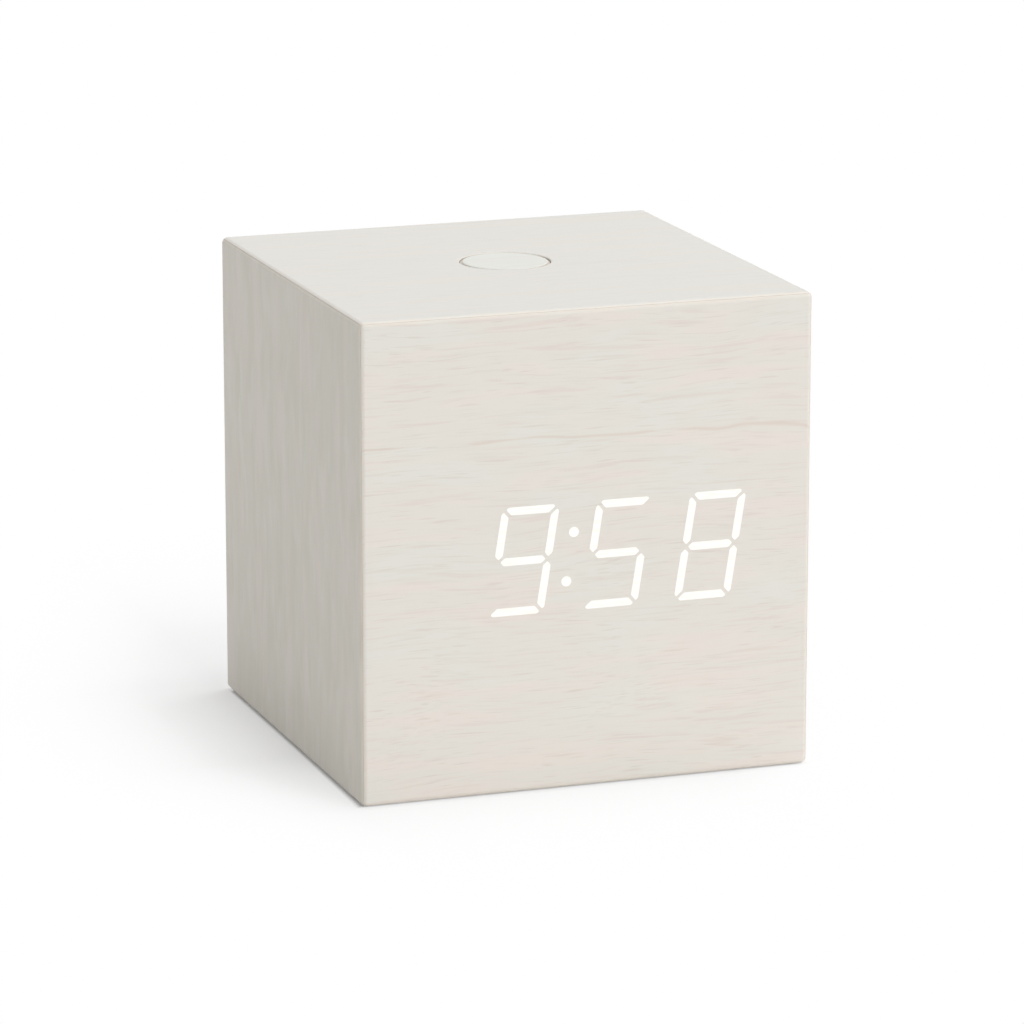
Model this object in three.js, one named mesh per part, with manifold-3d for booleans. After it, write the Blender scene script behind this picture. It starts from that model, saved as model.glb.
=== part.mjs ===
// A cube-shaped alarm clock in whitewashed wood veneer, with a seven-segment display behind
// the front veneer, a round snooze button in the top and a recessed panel in the back.
// Millimetres, +Z up, front facing -Y. The origin is on the table under the clock's middle.

import * as THREE from 'three';
import { mergeVertices } from 'three/addons/utils/BufferGeometryUtils.js';
import { RoundedBoxGeometry } from 'three/addons/geometries/RoundedBoxGeometry.js';
import Module from 'manifold-3d';

const wasm = await Module();
wasm.setup();

// Case
const caseWidth = 100;
const caseDepth = 100;
const caseHeight = 103;
const edgeRadius = 1.3;
const veneerThickness = 0.8;
const boardThickness = 6;

// Clearances
const glueLine = 0.1;
const seatGap = 0.1;
const dropInGap = 0.3;
const overrun = 1;

// Feet
const footRadius = 4;
const footThickness = 1.9;
const footProud = 0.4;
const footInset = 10;

// Digits, as they show on the front: a row of bars that fills the mask between two margins,
// from the bars of the leading one to the right-hand bars of the last full digit
const maskSideMargin = 10;
const maskWidth = caseWidth - maskSideMargin * 2;
const rowMargin = 7.8;
const rowShift = 1.35;
const fullDigitCount = 3;
const digitHeight = 23.2;
const digitStroke = 1.7;
const digitSpacing = 8.2;
const digitPitch = (maskWidth - rowMargin * 2 - digitStroke) / fullDigitCount;
const digitWidth = digitPitch - digitSpacing;
const digitSlant = THREE.MathUtils.degToRad(9);
const segmentGap = 0.5;
const segmentNip = 0.45;
const minutesX = rowShift + maskWidth / 2 - rowMargin - digitWidth / 2;
const tensX = minutesX - digitPitch;
const hoursX = tensX - digitPitch;
const leadingX = hoursX - digitPitch;
const digitRise = 50.2;
const colonDotRadius = 1.1;
const colonDotRise = 5.25;
const markRadius = 0.8;
const markRise = 8;
const markFromLeading = 5.5;

// Display parts
const veneerSkin = 0.35;
const maskHeight = 29;
const windowCornerRadius = 2;
const filmThickness = 0.2;
const webThickness = 0.4;
const webMargin = 0.6;
const guideBarDepth = 4;
const wellClearance = 0.15;
const displayBoardMargin = 8;
const displayBoardWidth = caseWidth - displayBoardMargin * 2;
const displayBoardHeight = 44;
const boardSheet = 1.6;
const lampLength = 1;
const lampWidth = 0.6;
const lampHeight = 0.7;
const driverSize = 10;
const driverHeight = 1.6;
const driverX = -15;
const displayScrewInset = 5;
const displayScrewX = displayBoardWidth / 2 - displayScrewInset;
const displayScrewRise = 18.5;

// Small screws
const screwRadius = 1;
const screwHeadRadius = 2.2;
const screwHeadHeight = 1.2;
const screwLength = 5;
const screwHoleClearance = 0.2;
const crossSlotWidth = 0.5;
const crossSlotLength = 2.4;
const crossSlotDepth = 0.6;

// Snooze button
const buttonRadius = 9.3;
const buttonGroove = 0.6;
const buttonY = 3;
const buttonTravel = 1;
const capWall = 2;
const capRimRadius = 12.5;
const capRimThickness = 1.2;
const capBossRadius = 3.4;
const capHollowRadius = 8;
const plungerRadius = 2;
const plungerClearance = 0.12;
const plungerSocketRoof = 0.5;
const bracketDrop = 8.4;
const bracketSheet = 2;
const bracketInnerHalf = 14;
const bracketEar = 8;
const bracketWidth = 18;
const sleeveRadius = 4;
const sleeveHeight = 3.4;
const springMeanRadius = 5.2;
const springWireRadius = 0.4;
const springTurns = 4.5;
const plungerBelowBracket = 1.4;
const tactSize = 6;
const tactHeight = 3.1;
const tactStubRadius = 1.7;
const tactStubHeight = 0.5;
const snoozeBoardWidth = 26;
const snoozeBoardDepth = 14;
const snoozePostX = 9.5;
const pegRadius = 0.9;
const pegPostRadius = 2;
const pegHeadRadius = 1.6;
const pegHeadHeight = 0.6;

// Rear panel
const panelSideMargin = 8;
const panelWidth = caseWidth - panelSideMargin * 2;
const panelHeight = 70;
const panelThickness = 2;
const panelRecess = 0.6;
const panelCornerRadius = 3;
const panelScrewInset = 3;
const panelScrewX = panelWidth / 2 - panelScrewInset;
const panelScrewRise = 26;
const rimSideInset = 6;
const rimWidth = panelWidth - rimSideInset * 2;
const rimHeight = 60;
const rimWall = 1.6;
const rimDepth = 7;
const mainBoardDrop = 7.5;
const mainBoardMargin = 0.8;
const mainBoardBayGap = 1.2;

// Battery bay and door: the cells are as long as the rim leaves room for beside the keys
const keyFromRim = 9.5;
const keyFromBay = 10.4;
const contactSpace = 3;
const cellLength = rimWidth - rimWall - keyFromRim - keyFromBay - contactSpace * 2;
const cellRadius = 5.25;
const cellPitch = 10.9;
const cellCount = 3;
const cellNubRadius = 1.9;
const cellNubHeight = 0.8;
const cellEdge = 0.5;
const contactSheet = 0.4;
const contactTailWidth = 2.5;
const contactBumpRadius = 2.2;
const contactTipRadius = 1.2;
const hingeBarrelRadius = 2.5;
const trunnionRadius = 1;
const trunnionLength = 1.2;
const doorThickness = 1.8;
const doorRibWidth = 24;
const doorRibHeight = 0.3;
const doorRibPitch = 1.6;
const doorRibCount = 4;
const doorRibDrop = 3;
const thumbRadius = 7;
const thumbDepth = 1.1;

// Keys, sockets and sound parts. The shares say how far along the rim's width from its middle
// the parts of the top strip sit.
const keyRadius = 3;
const keyRimRadius = 3.9;
const keyRimThickness = 0.8;
const keyProud = 0.5;
const keyX = rimWidth / 2 - keyFromRim;
const lowestKeyY = -16;
const keyPitch = 10.5;
const keyHoleClearance = 0.25;
const topStripY = 20.3;
const usbShare = -1 / 3;
const buzzerShare = -7 / 72;
const microphoneShare = 1 / 9;
const slideShare = 11 / 36;
const usbX = rimWidth * usbShare;
const usbWidth = 8.94;
const usbHeight = 3.16;
const usbWall = 0.3;
const usbRecess = 0.8;
const usbFloor = 0.5;
const usbHoleMargin = 0.6;
const usbTongueWidth = 6.7;
const usbTongueThickness = 0.7;
const usbTongueRecess = 0.8;
const buzzerX = rimWidth * buzzerShare;
const buzzerRadius = 6;
const buzzerHeight = 4.8;
const buzzerVentRadius = 0.7;
const buzzerVentRing = 2.6;
const buzzerVentCount = 6;
const microphoneX = rimWidth * microphoneShare;
const microphoneRadius = 3;
const microphoneHeight = 2.7;
const microphoneHoleRadius = 0.6;
const slideX = rimWidth * slideShare;
const slideTravel = 3;
const slideBodyLength = 8.6;
const slideBodyWidth = 3.8;
const slideBodyHeight = 3.4;
const slideFootLength = 4.6;
const slideFootWidth = 3.2;
const slideFootHeight = 0.8;
const slideTabLength = 2.4;
const slideTabWidth = 1.8;
const slideTabProud = 0.3;
const slideSlotMargin = 0.4;
const chipSize = 12;
const chipHeight = 1.6;

// Inner leads
const headerLength = 14;
const headerWidth = 5;
const headerHeight = 6;
const displayHeaderX = 8;
const displayHeaderRise = 16;
const ribbonWidth = 10;
const ribbonThickness = 0.9;
const snoozeHeaderX = -5;
const snoozeHeaderSize = 5;
const leadRadius = 0.9;
const leadSides = 6;
const ribbonSag = 7;
const leadSag = 9;
const leadSteps = 16;

// How finely round things are cut
const roundSides = 24;
const smallSides = 12;
const ventSides = 8;
const edgeSteps = 3;
const cornerSteps = 3;
const springStepsPerTurn = 8;
const springSides = 5;

// Worked out from the sizes above
const caseBottom = footProud;
const caseTop = caseBottom + caseHeight;
const caseMiddle = (caseBottom + caseTop) / 2;
const boardOffset = veneerThickness + glueLine;
const cavityOffset = boardOffset + boardThickness;
const mitreGap = glueLine * Math.SQRT1_2;

/** A material with the colour, roughness and metalness of one finish. */
function finish(color, roughness, metalness = 0) {
  return new THREE.MeshStandardMaterial({ color, roughness, metalness });
}

const paleVeneer = () => finish(0xe3dfd7, 0.6);
const fibreboard = () => finish(0xb99b74, 0.9);
const rubber = () => finish(0x2b2b2c, 0.85);
const circuitBoard = () => finish(0x1f4d3a, 0.5);
const whitePlastic = () => finish(0xf2f1ec, 0.5);
const clearPlastic = () => finish(0xfffdf6, 0.25);
const blackPlastic = () => finish(0x242528, 0.55);
const greyPlastic = () => finish(0x8c8f92, 0.5);
const steel = () => finish(0xb9bcc0, 0.35, 1);
const cellWrap = () => finish(0x3a5f7d, 0.35);

/** A closed three.js geometry as a solid that can be joined and cut. */
function solidFrom(geometry) {
  geometry.deleteAttribute('normal');
  geometry.deleteAttribute('uv');
  const merged = mergeVertices(geometry);
  return new wasm.Manifold(new wasm.Mesh({
    numProp: 3,
    vertProperties: new Float32Array(merged.attributes.position.array),
    triVerts: new Uint32Array(merged.index.array),
  }));
}

/** A finished solid as a three.js geometry. */
function geometryFrom(solid) {
  const { vertProperties, triVerts } = solid.getMesh();
  const geometry = new THREE.BufferGeometry();
  geometry.setAttribute('position', new THREE.BufferAttribute(vertProperties, 3));
  geometry.setIndex(new THREE.BufferAttribute(triVerts, 1));
  geometry.computeVertexNormals();
  return geometry;
}

const join = (...solids) => solids.reduce((whole, solid) => whole.add(solid));
const cut = (solid, ...tools) => tools.reduce((left, tool) => left.subtract(tool), solid);

/** A box between two heights, centred on x and y. */
function block(width, height, bottom, top, x = 0, y = 0) {
  const box = new THREE.BoxGeometry(width, height, top - bottom);
  return solidFrom(box.translate(x, y, (bottom + top) / 2));
}

/** An upright round bar between two heights, centred on x and y. */
function drum(radius, bottom, top, x = 0, y = 0, sides = smallSides, topRadius = radius) {
  const round = new THREE.CylinderGeometry(topRadius, radius, top - bottom, sides);
  return solidFrom(round.rotateX(Math.PI / 2).translate(x, y, (bottom + top) / 2));
}

/** A round bar along x from one end to the other. */
function axle(radius, start, end, y, z, sides = smallSides, endRadius = radius) {
  const round = new THREE.CylinderGeometry(endRadius, radius, end - start, sides);
  return solidFrom(round.rotateZ(-Math.PI / 2).translate((start + end) / 2, y, z));
}

/** A flat outline given thickness between two heights. */
function slab(outline, bottom, top) {
  const settings = { depth: top - bottom, bevelEnabled: false, curveSegments: cornerSteps };
  return solidFrom(new THREE.ExtrudeGeometry(outline, settings).translate(0, 0, bottom));
}

/** A profile of [radius, height] points turned about the upright axis. */
function turned(profile, sides = roundSides) {
  const points = profile.map(([radius, height]) => new THREE.Vector2(radius, height));
  return solidFrom(new THREE.LatheGeometry(points, sides).rotateX(Math.PI / 2));
}

/** A rectangle with round corners, centred on x and y. */
function roundedOutline(width, height, radius, x = 0, y = 0) {
  const outline = new THREE.Shape();
  const turns = [[1, 1], [-1, 1], [-1, -1], [1, -1]];
  turns.forEach(([right, up], quarter) => {
    const start = quarter * Math.PI / 2;
    const centreX = x + right * (width / 2 - radius);
    const centreY = y + up * (height / 2 - radius);
    outline.absarc(centreX, centreY, radius, start, start + Math.PI / 2, false);
  });
  outline.closePath();
  return outline;
}

const outlineThrough = (points) => new THREE.Shape(points.map(([x, y]) => new THREE.Vector2(x, y)));

/** A round outline with straight facets. */
function circleOutline(radius, facets, x = 0, y = 0) {
  return outlineThrough(Array.from({ length: facets }, (unused, index) => {
    const angle = index / facets * Math.PI * 2;
    return [x + radius * Math.cos(angle), y + radius * Math.sin(angle)];
  }));
}

/** Adds one named piece to a group. */
function addPiece(group, name, solid, material) {
  const mesh = new THREE.Mesh(geometryFrom(solid), material);
  mesh.name = name;
  group.add(mesh);
}

// The six sides of the case. In each side's own group +Z points out of the clock from the
// middle of that side, and x and y run across it.
const sides = {
  front: { width: caseWidth, height: caseHeight, depth: caseDepth, at: [0, -caseDepth / 2, caseMiddle],
    turn: [Math.PI / 2, 0, 0] },
  back: { width: caseWidth, height: caseHeight, depth: caseDepth, at: [0, caseDepth / 2, caseMiddle],
    turn: [Math.PI / 2, Math.PI, 0] },
  left: { width: caseDepth, height: caseHeight, depth: caseWidth, at: [-caseWidth / 2, 0, caseMiddle],
    turn: [Math.PI / 2, -Math.PI / 2, 0] },
  right: { width: caseDepth, height: caseHeight, depth: caseWidth, at: [caseWidth / 2, 0, caseMiddle],
    turn: [Math.PI / 2, Math.PI / 2, 0] },
  top: { width: caseWidth, height: caseDepth, depth: caseHeight, at: [0, 0, caseTop],
    turn: [0, 0, 0] },
  bottom: { width: caseWidth, height: caseDepth, depth: caseHeight, at: [0, 0, caseBottom],
    turn: [Math.PI, 0, 0] },
};

const clock = new THREE.Group();
for (const side of Object.values(sides)) {
  side.group = new THREE.Group();
  side.group.position.set(...side.at);
  side.group.rotation.set(...side.turn);
  clock.add(side.group);
}

/** The layer of the case behind one side, between two depths, with its four edges mitred. */
function mitredLayer(side, outerDepth, innerDepth) {
  const layer = new THREE.BoxGeometry(1, 1, 1);
  const corners = layer.attributes.position;
  for (let i = 0; i < corners.count; i += 1) {
    const depth = corners.getZ(i) > 0 ? outerDepth : innerDepth;
    const reachX = side.width / 2 - depth - mitreGap;
    const reachY = side.height / 2 - depth - mitreGap;
    corners.setXYZ(i, Math.sign(corners.getX(i)) * reachX, Math.sign(corners.getY(i)) * reachY, -depth);
  }
  return solidFrom(layer);
}

/** The veneer on one side, its edges rounded with the case's. */
function veneerSheet(side) {
  const body = new RoundedBoxGeometry(side.width, side.height, side.depth, edgeSteps, edgeRadius);
  const rounded = solidFrom(body.translate(0, 0, -side.depth / 2));
  return mitredLayer(side, -overrun, veneerThickness).intersect(rounded);
}

const boardSolid = (side) => mitredLayer(side, boardOffset, cavityOffset);

/** A screw driven in from a height towards -Z, with its head above that height. */
function screw(x, y, seat) {
  const head = drum(screwHeadRadius, seat, seat + screwHeadHeight, x, y, roundSides);
  const shank = drum(screwRadius, seat - screwLength, seat + screwHeadHeight / 2, x, y);
  const slotBottom = seat + screwHeadHeight - crossSlotDepth;
  const slotTop = seat + screwHeadHeight + overrun;
  const slots = join(
    block(crossSlotLength, crossSlotWidth, slotBottom, slotTop, x, y),
    block(crossSlotWidth, crossSlotLength, slotBottom, slotTop, x, y),
  );
  return cut(join(head, shank), slots);
}

/** The same screw driven in from a height towards +Z, with its head below that height. */
function screwUp(x, y, seat) {
  const geometry = geometryFrom(screw(x, -y, -seat));
  return solidFrom(geometry.rotateX(Math.PI));
}

const pilotHole = (x, y, mouth, depth, up) => (
  up ? drum(screwRadius + screwHoleClearance, mouth - overrun, mouth + depth, x, y)
    : drum(screwRadius + screwHoleClearance, mouth - depth, mouth + overrun, x, y)
);

// Digits. A bar's outline is drawn upright about its digit's middle, then slanted.
const barCentreX = (digitWidth - digitStroke) / 2;
const barCentreY = (digitHeight - digitStroke) / 2;

/** The outline points of bars a, b and g of a digit, drawn in by an inset. */
function barOutlines(inset) {
  const half = digitStroke / 2 - inset;
  const back = segmentGap + inset * Math.SQRT2;
  const [x, y] = [barCentreX, barCentreY];
  const nipped = x + half - back - segmentNip;
  const halfTop = [
    [x - half - back, y - half], [nipped, y + half - segmentNip], [nipped - segmentNip, y + half],
  ];
  const mirrored = halfTop.map(([px, py]) => [-px, py]).reverse();
  return {
    a: [...halfTop, ...mirrored],
    b: [
      [x, back], [x + half, back + half], [x + half, y + half - back - segmentNip - segmentNip],
      [x + half - segmentNip, y + half - back - segmentNip], [x - half, y - half - back],
      [x - half, back + half],
    ],
    g: [
      [x - back, 0], [x - back - half, half], [half + back - x, half],
      [back - x, 0], [half + back - x, -half], [x - back - half, -half],
    ],
  };
}

// Each bar as one of the three drawn bars, turned over left to right or top to bottom.
const barKinds = {
  a: ['a', 1, 1], b: ['b', 1, 1], c: ['b', 1, -1], d: ['a', 1, -1],
  e: ['b', -1, -1], f: ['b', -1, 1], g: ['g', 1, 1],
};

const slanted = (centreX, points) => points.map(([x, y]) => [centreX + x + y * Math.tan(digitSlant), y]);

/** The outline of one bar of the digit at centreX. */
function barOutline(centreX, bar, inset) {
  const [kind, flipX, flipY] = barKinds[bar];
  const points = barOutlines(inset)[kind].map(([x, y]) => [x * flipX, y * flipY]);
  return outlineThrough(slanted(centreX, points));
}

/** The middle of one bar, where its lamp sits. */
function barMiddle(centreX, bar) {
  const [kind, flipX, flipY] = barKinds[bar];
  const middles = { a: [0, barCentreY], b: [barCentreX, barCentreY / 2], g: [0, 0] };
  const [x, y] = middles[kind];
  return slanted(centreX, [[x * flipX, y * flipY]])[0];
}

const colonX = (hoursX + tensX) / 2;
const leadingBarX = leadingX + barCentreX;
const markX = leadingBarX - markFromLeading;
const lightGuides = [
  { name: 'leading_one', centreX: leadingX, bars: 'bc', webX: (leadingBarX + markX) / 2,
    webHalf: markFromLeading / 2, dots: [[markX, markRise], [markX, -markRise]], dotRadius: markRadius },
  { name: 'hours', centreX: hoursX, bars: 'abcdefg', webX: hoursX, webHalf: barCentreX },
  { name: 'tens', centreX: tensX, bars: 'abcdefg', webX: tensX, webHalf: barCentreX },
  { name: 'minutes', centreX: minutesX, bars: 'abcdefg', webX: minutesX, webHalf: barCentreX },
  { name: 'colon', centreX: colonX, bars: '', webX: colonX, webHalf: 0,
    dots: [[colonX, colonDotRise], [colonX, -colonDotRise]], dotRadius: colonDotRadius },
];

/** The middles of a guide's round dots, slanted like its bars. */
const dotMiddles = (guide) => (guide.dots ?? []).map(([x, y]) => slanted(0, [[x, y]])[0]);

/** Every outline that one light guide lights, drawn in by an inset. */
function litOutlines(guide, inset) {
  const bars = [...guide.bars].map((bar) => barOutline(guide.centreX, bar, inset));
  const dots = dotMiddles(guide).map(([x, y]) => circleOutline(guide.dotRadius - inset, smallSides, x, y));
  return [...bars, ...dots];
}

const allOutlines = (inset) => lightGuides.flatMap((guide) => litOutlines(guide, inset));

/** The slanted outline of a guide's thin web, which covers its bars and dots. */
function webOutline(guide) {
  const reachX = guide.webHalf + digitStroke / 2 + webMargin;
  const reachY = guide.bars ? digitHeight / 2 + webMargin : colonDotRise + colonDotRadius + webMargin;
  const corners = [[reachX, reachY], [-reachX, reachY], [-reachX, -reachY], [reachX, -reachY]];
  return outlineThrough(slanted(guide.webX, corners));
}

// Heights through the display, from the outside of the front veneer inwards.
const filmTop = -veneerThickness - seatGap;
const webTop = filmTop - filmThickness - seatGap;
const webBottom = webTop - webThickness;
const maskTop = webBottom - seatGap;
const maskBottom = -cavityOffset;
const displayBoardTop = maskBottom - seatGap;
const displayBoardBottom = displayBoardTop - boardSheet;
const displayY = digitRise - caseHeight / 2;
const fourCorners = [[1, 1], [-1, 1], [-1, -1], [1, -1]];
const displayScrews = fourCorners.map(([x, y]) => [x * displayScrewX, y * displayScrewRise]);

const display = new THREE.Group();
display.position.y = displayY;
sides.front.group.add(display);

/** Moves a solid from the display's own place to the front side's. */
const onFront = (solid) => solidFrom(geometryFrom(solid).translate(0, displayY, 0));

function buildFront() {
  const pockets = allOutlines(0).map((outline) => slab(outline, -veneerThickness - overrun, -veneerSkin));
  addPiece(sides.front.group, 'front_veneer',
    cut(veneerSheet(sides.front), onFront(join(...pockets))), paleVeneer());
  const opening = roundedOutline(maskWidth + dropInGap * 2, maskHeight + dropInGap * 2, windowCornerRadius);
  const holes = displayScrews.map(([x, y]) => pilotHole(x, y, -cavityOffset, screwLength, true));
  const window = join(slab(opening, -cavityOffset - overrun, overrun), ...holes);
  addPiece(sides.front.group, 'front_board', cut(boardSolid(sides.front), onFront(window)), fibreboard());
}

function buildDisplay() {
  const sheet = roundedOutline(maskWidth, maskHeight, windowCornerRadius);
  addPiece(display, 'diffuser_film', slab(sheet, filmTop - filmThickness, filmTop), whitePlastic());

  for (const guide of lightGuides) {
    const bars = litOutlines(guide, wellClearance)
      .map((outline) => slab(outline, webBottom - guideBarDepth, webBottom + webThickness / 2));
    const web = slab(webOutline(guide), webBottom, webTop);
    addPiece(display, `light_guide_${guide.name}`, join(web, ...bars), clearPlastic());
  }

  const wells = allOutlines(0).map((outline) => slab(outline, maskBottom - overrun, maskTop + overrun));
  addPiece(display, 'segment_mask', cut(slab(sheet, maskBottom, maskTop), ...wells), whitePlastic());

  const blank = roundedOutline(displayBoardWidth, displayBoardHeight, windowCornerRadius);
  const spots = lightGuides.flatMap((guide) => (
    [...[...guide.bars].map((bar) => barMiddle(guide.centreX, bar)), ...dotMiddles(guide)]
  ));
  const lampSeat = displayBoardTop - boardSheet / 2;
  const lamps = spots.map(([x, y]) => (
    block(lampWidth, lampLength, lampSeat, displayBoardTop + lampHeight, x, y)
  ));
  const driver = block(driverSize, driverSize, displayBoardBottom - driverHeight, lampSeat, driverX, 0);
  const header = block(headerLength, headerWidth, displayBoardBottom - headerHeight, lampSeat,
    displayHeaderX, displayHeaderRise);
  const screwHoles = displayScrews
    .map(([x, y]) => pilotHole(x, y, displayBoardBottom, boardSheet + overrun, true));
  addPiece(display, 'display_board',
    cut(join(slab(blank, displayBoardBottom, displayBoardTop), ...lamps, driver, header), ...screwHoles),
    circuitBoard());

  displayScrews.forEach(([x, y], index) => {
    addPiece(display, `display_screw_${index + 1}`, screwUp(x, y, displayBoardBottom - seatGap), steel());
  });
}

// Heights through the snooze button, from the top of the case down.
const capTop = -boardOffset;
const capCeiling = capTop - capWall;
const capRimTop = -cavityOffset - dropInGap;
const capRimBottom = capRimTop - capRimThickness;
const bracketEarTop = -cavityOffset - seatGap;
const bracketPlateTop = bracketEarTop - bracketDrop;
const bracketPlateBottom = bracketPlateTop - bracketSheet;
const plungerTop = capCeiling - plungerSocketRoof - seatGap;
const tactTotal = tactHeight + tactStubHeight;
const plungerBottom = bracketPlateBottom - plungerBelowBracket;
const snoozeStubTop = plungerBottom - buttonTravel - seatGap;
const snoozeBoardTop = snoozeStubTop - tactTotal;
const snoozeBoardBottom = snoozeBoardTop - boardSheet;
const bracketScrewX = bracketInnerHalf + bracketSheet + bracketEar / 2;
const pegClearance = 0.2;

const snooze = new THREE.Group();
snooze.position.y = buttonY;
sides.top.group.add(snooze);

/** A boss with a heat-staked peg that holds a board whose faces lie at two heights. */
function stakedPeg(x, y, root, boardTop, boardBottom) {
  const post = drum(pegPostRadius, boardTop + seatGap, root, x, y);
  const headTop = boardBottom - seatGap;
  const peg = drum(pegRadius, headTop - pegHeadHeight / 2, boardTop + pegPostRadius, x, y);
  const head = drum(pegHeadRadius, headTop - pegHeadHeight, headTop, x, y);
  return join(post, peg, head);
}

const pegHole = (x, y, boardTop, boardBottom) => (
  drum(pegRadius + pegClearance, boardBottom - overrun, boardTop + overrun, x, y)
);

/** A tactile switch standing on a board. */
function tactSwitch(x, y, boardTop) {
  const body = block(tactSize, tactSize, boardTop - boardSheet / 2, boardTop + tactHeight, x, y);
  const stub = drum(tactStubRadius, boardTop + tactHeight / 2, boardTop + tactTotal, x, y);
  return join(body, stub);
}

/** The helix of the return spring, with its ends drawn flat against their seats. */
class SpringCurve extends THREE.Curve {
  constructor(radius, bottom, top, turns) {
    super();
    Object.assign(this, { radius, bottom, top, turns });
  }

  getPoint(share) {
    const angle = share * this.turns * Math.PI * 2;
    const height = THREE.MathUtils.lerp(this.bottom, this.top, share);
    return new THREE.Vector3(this.radius * Math.cos(angle), this.radius * Math.sin(angle), height);
  }
}

function buildTop() {
  const { top } = sides;
  const veneerBore = drum(buttonRadius + buttonGroove, -veneerThickness - overrun, overrun,
    0, buttonY, roundSides + roundSides);
  addPiece(top.group, 'top_veneer', cut(veneerSheet(top), veneerBore), paleVeneer());
  const boardBore = drum(buttonRadius + buttonGroove, -cavityOffset - overrun, overrun, 0, buttonY,
    roundSides + roundSides);
  const holes = [-1, 1].map((hand) => (
    pilotHole(hand * bracketScrewX, buttonY, -cavityOffset, screwLength, true)
  ));
  addPiece(top.group, 'top_board', cut(boardSolid(top), boardBore, ...holes), fibreboard());
}

function buildSnooze() {
  addPiece(snooze, 'snooze_veneer',
    drum(buttonRadius, -veneerThickness, 0, 0, 0, roundSides + roundSides), paleVeneer());

  const capProfile = [
    [0, capCeiling - plungerSocketRoof], [plungerRadius + plungerClearance, capCeiling - plungerSocketRoof],
    [plungerRadius + plungerClearance, capRimBottom], [capBossRadius, capRimBottom],
    [capBossRadius, capCeiling], [capHollowRadius, capCeiling], [capHollowRadius, capRimBottom],
    [capRimRadius, capRimBottom], [capRimRadius, capRimTop], [buttonRadius, capRimTop],
    [buttonRadius, capTop], [0, capTop],
  ];
  addPiece(snooze, 'snooze_cap', turned(capProfile, roundSides + roundSides), whitePlastic());
  addPiece(snooze, 'snooze_plunger', drum(plungerRadius, plungerBottom, plungerTop), greyPlastic());

  const clear = springWireRadius + seatGap;
  const spring = new SpringCurve(springMeanRadius, bracketPlateTop + clear, capCeiling - clear, springTurns);
  const coil = new THREE.ExtrudeGeometry(circleOutline(springWireRadius, springSides), {
    extrudePath: spring, steps: Math.round(springTurns * springStepsPerTurn), bevelEnabled: false });
  addPiece(snooze, 'snooze_spring', solidFrom(coil), steel());

  const outerHalf = bracketInnerHalf + bracketSheet;
  const earHalf = outerHalf + bracketEar;
  const earBottom = bracketEarTop - bracketSheet;
  const hatHalf = [
    [earHalf, bracketEarTop], [earHalf, earBottom], [outerHalf, earBottom], [outerHalf, bracketPlateBottom],
  ];
  const hatInner = [[-bracketInnerHalf, bracketEarTop], [-bracketInnerHalf, bracketPlateTop],
    [bracketInnerHalf, bracketPlateTop], [bracketInnerHalf, bracketEarTop]];
  const hat = outlineThrough([...hatHalf, ...hatHalf.map(([x, y]) => [-x, y]).reverse(), ...hatInner]);
  const hatSolid = new THREE.ExtrudeGeometry(hat, { depth: bracketWidth, bevelEnabled: false });
  const strip = solidFrom(hatSolid.rotateX(Math.PI / 2).translate(0, bracketWidth / 2, 0));
  const sleeve = drum(sleeveRadius, bracketPlateBottom, bracketPlateTop + sleeveHeight, 0, 0, roundSides);
  const bore = drum(plungerRadius + plungerClearance, bracketPlateBottom - overrun,
    bracketPlateTop + sleeveHeight + overrun);
  const pegs = [-1, 1].map((hand) => (
    stakedPeg(hand * snoozePostX, 0, bracketPlateBottom + bracketSheet / 2, snoozeBoardTop, snoozeBoardBottom)
  ));
  const earHoles = [-1, 1].map((hand) => (
    pilotHole(hand * bracketScrewX, 0, earBottom, bracketSheet + overrun, true)
  ));
  addPiece(snooze, 'snooze_bracket', cut(join(strip, sleeve, ...pegs), bore, ...earHoles), greyPlastic());
  [-1, 1].forEach((hand, index) => {
    addPiece(snooze, `snooze_screw_${index + 1}`,
      screwUp(hand * bracketScrewX, 0, earBottom - seatGap), steel());
  });

  const boardBlank = block(snoozeBoardWidth, snoozeBoardDepth, snoozeBoardBottom, snoozeBoardTop);
  const header = block(snoozeHeaderSize, snoozeHeaderSize, snoozeBoardBottom - snoozeHeaderSize,
    snoozeBoardBottom + boardSheet / 2, snoozeHeaderX, 0);
  const pegHoles = [-1, 1].map((hand) => pegHole(hand * snoozePostX, 0, snoozeBoardTop, snoozeBoardBottom));
  addPiece(snooze, 'snooze_board',
    cut(join(boardBlank, tactSwitch(0, 0, snoozeBoardTop), header), ...pegHoles), circuitBoard());
}

// Heights through the rear panel, from the back of the case inwards.
const panelTop = -panelRecess;
const panelBottom = panelTop - panelThickness;
const mainBoardTop = panelTop - mainBoardDrop;
const mainBoardBottom = mainBoardTop - boardSheet;
const rimHalfWidth = rimWidth / 2;
const rimHalfHeight = rimHeight / 2;
const bayLeft = -rimHalfWidth + rimWall;
const bayRight = bayLeft + cellLength + contactSpace * 2;
const bayBottom = -rimHalfHeight + rimWall;
const hingeY = bayBottom + dropInGap + hingeBarrelRadius;
const hingeZ = panelTop - hingeBarrelRadius;
const cellsBottom = hingeY + hingeBarrelRadius + dropInGap;
const bayTop = cellsBottom + cellPitch * cellCount + dropInGap;
const cellZ = panelBottom - dropInGap - cellRadius;
const bayFloorTop = cellZ - cellRadius - dropInGap;
const bayFloorBottom = bayFloorTop - rimWall;
const bayMiddleX = (bayLeft + bayRight) / 2;
const bayMiddleY = (bayBottom + bayTop) / 2;
const panelScrews = fourCorners.map(([x, y]) => [x * panelScrewX, y * panelScrewRise]);
const stripBottom = bayTop + rimWall + mainBoardBayGap;
const columnLeft = bayRight + rimWall + mainBoardBayGap;
const boardRight = rimHalfWidth - rimWall - mainBoardMargin;
const boardUp = rimHalfHeight - rimWall - mainBoardMargin;
const pegInset = pegPostRadius + seatGap;
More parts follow.
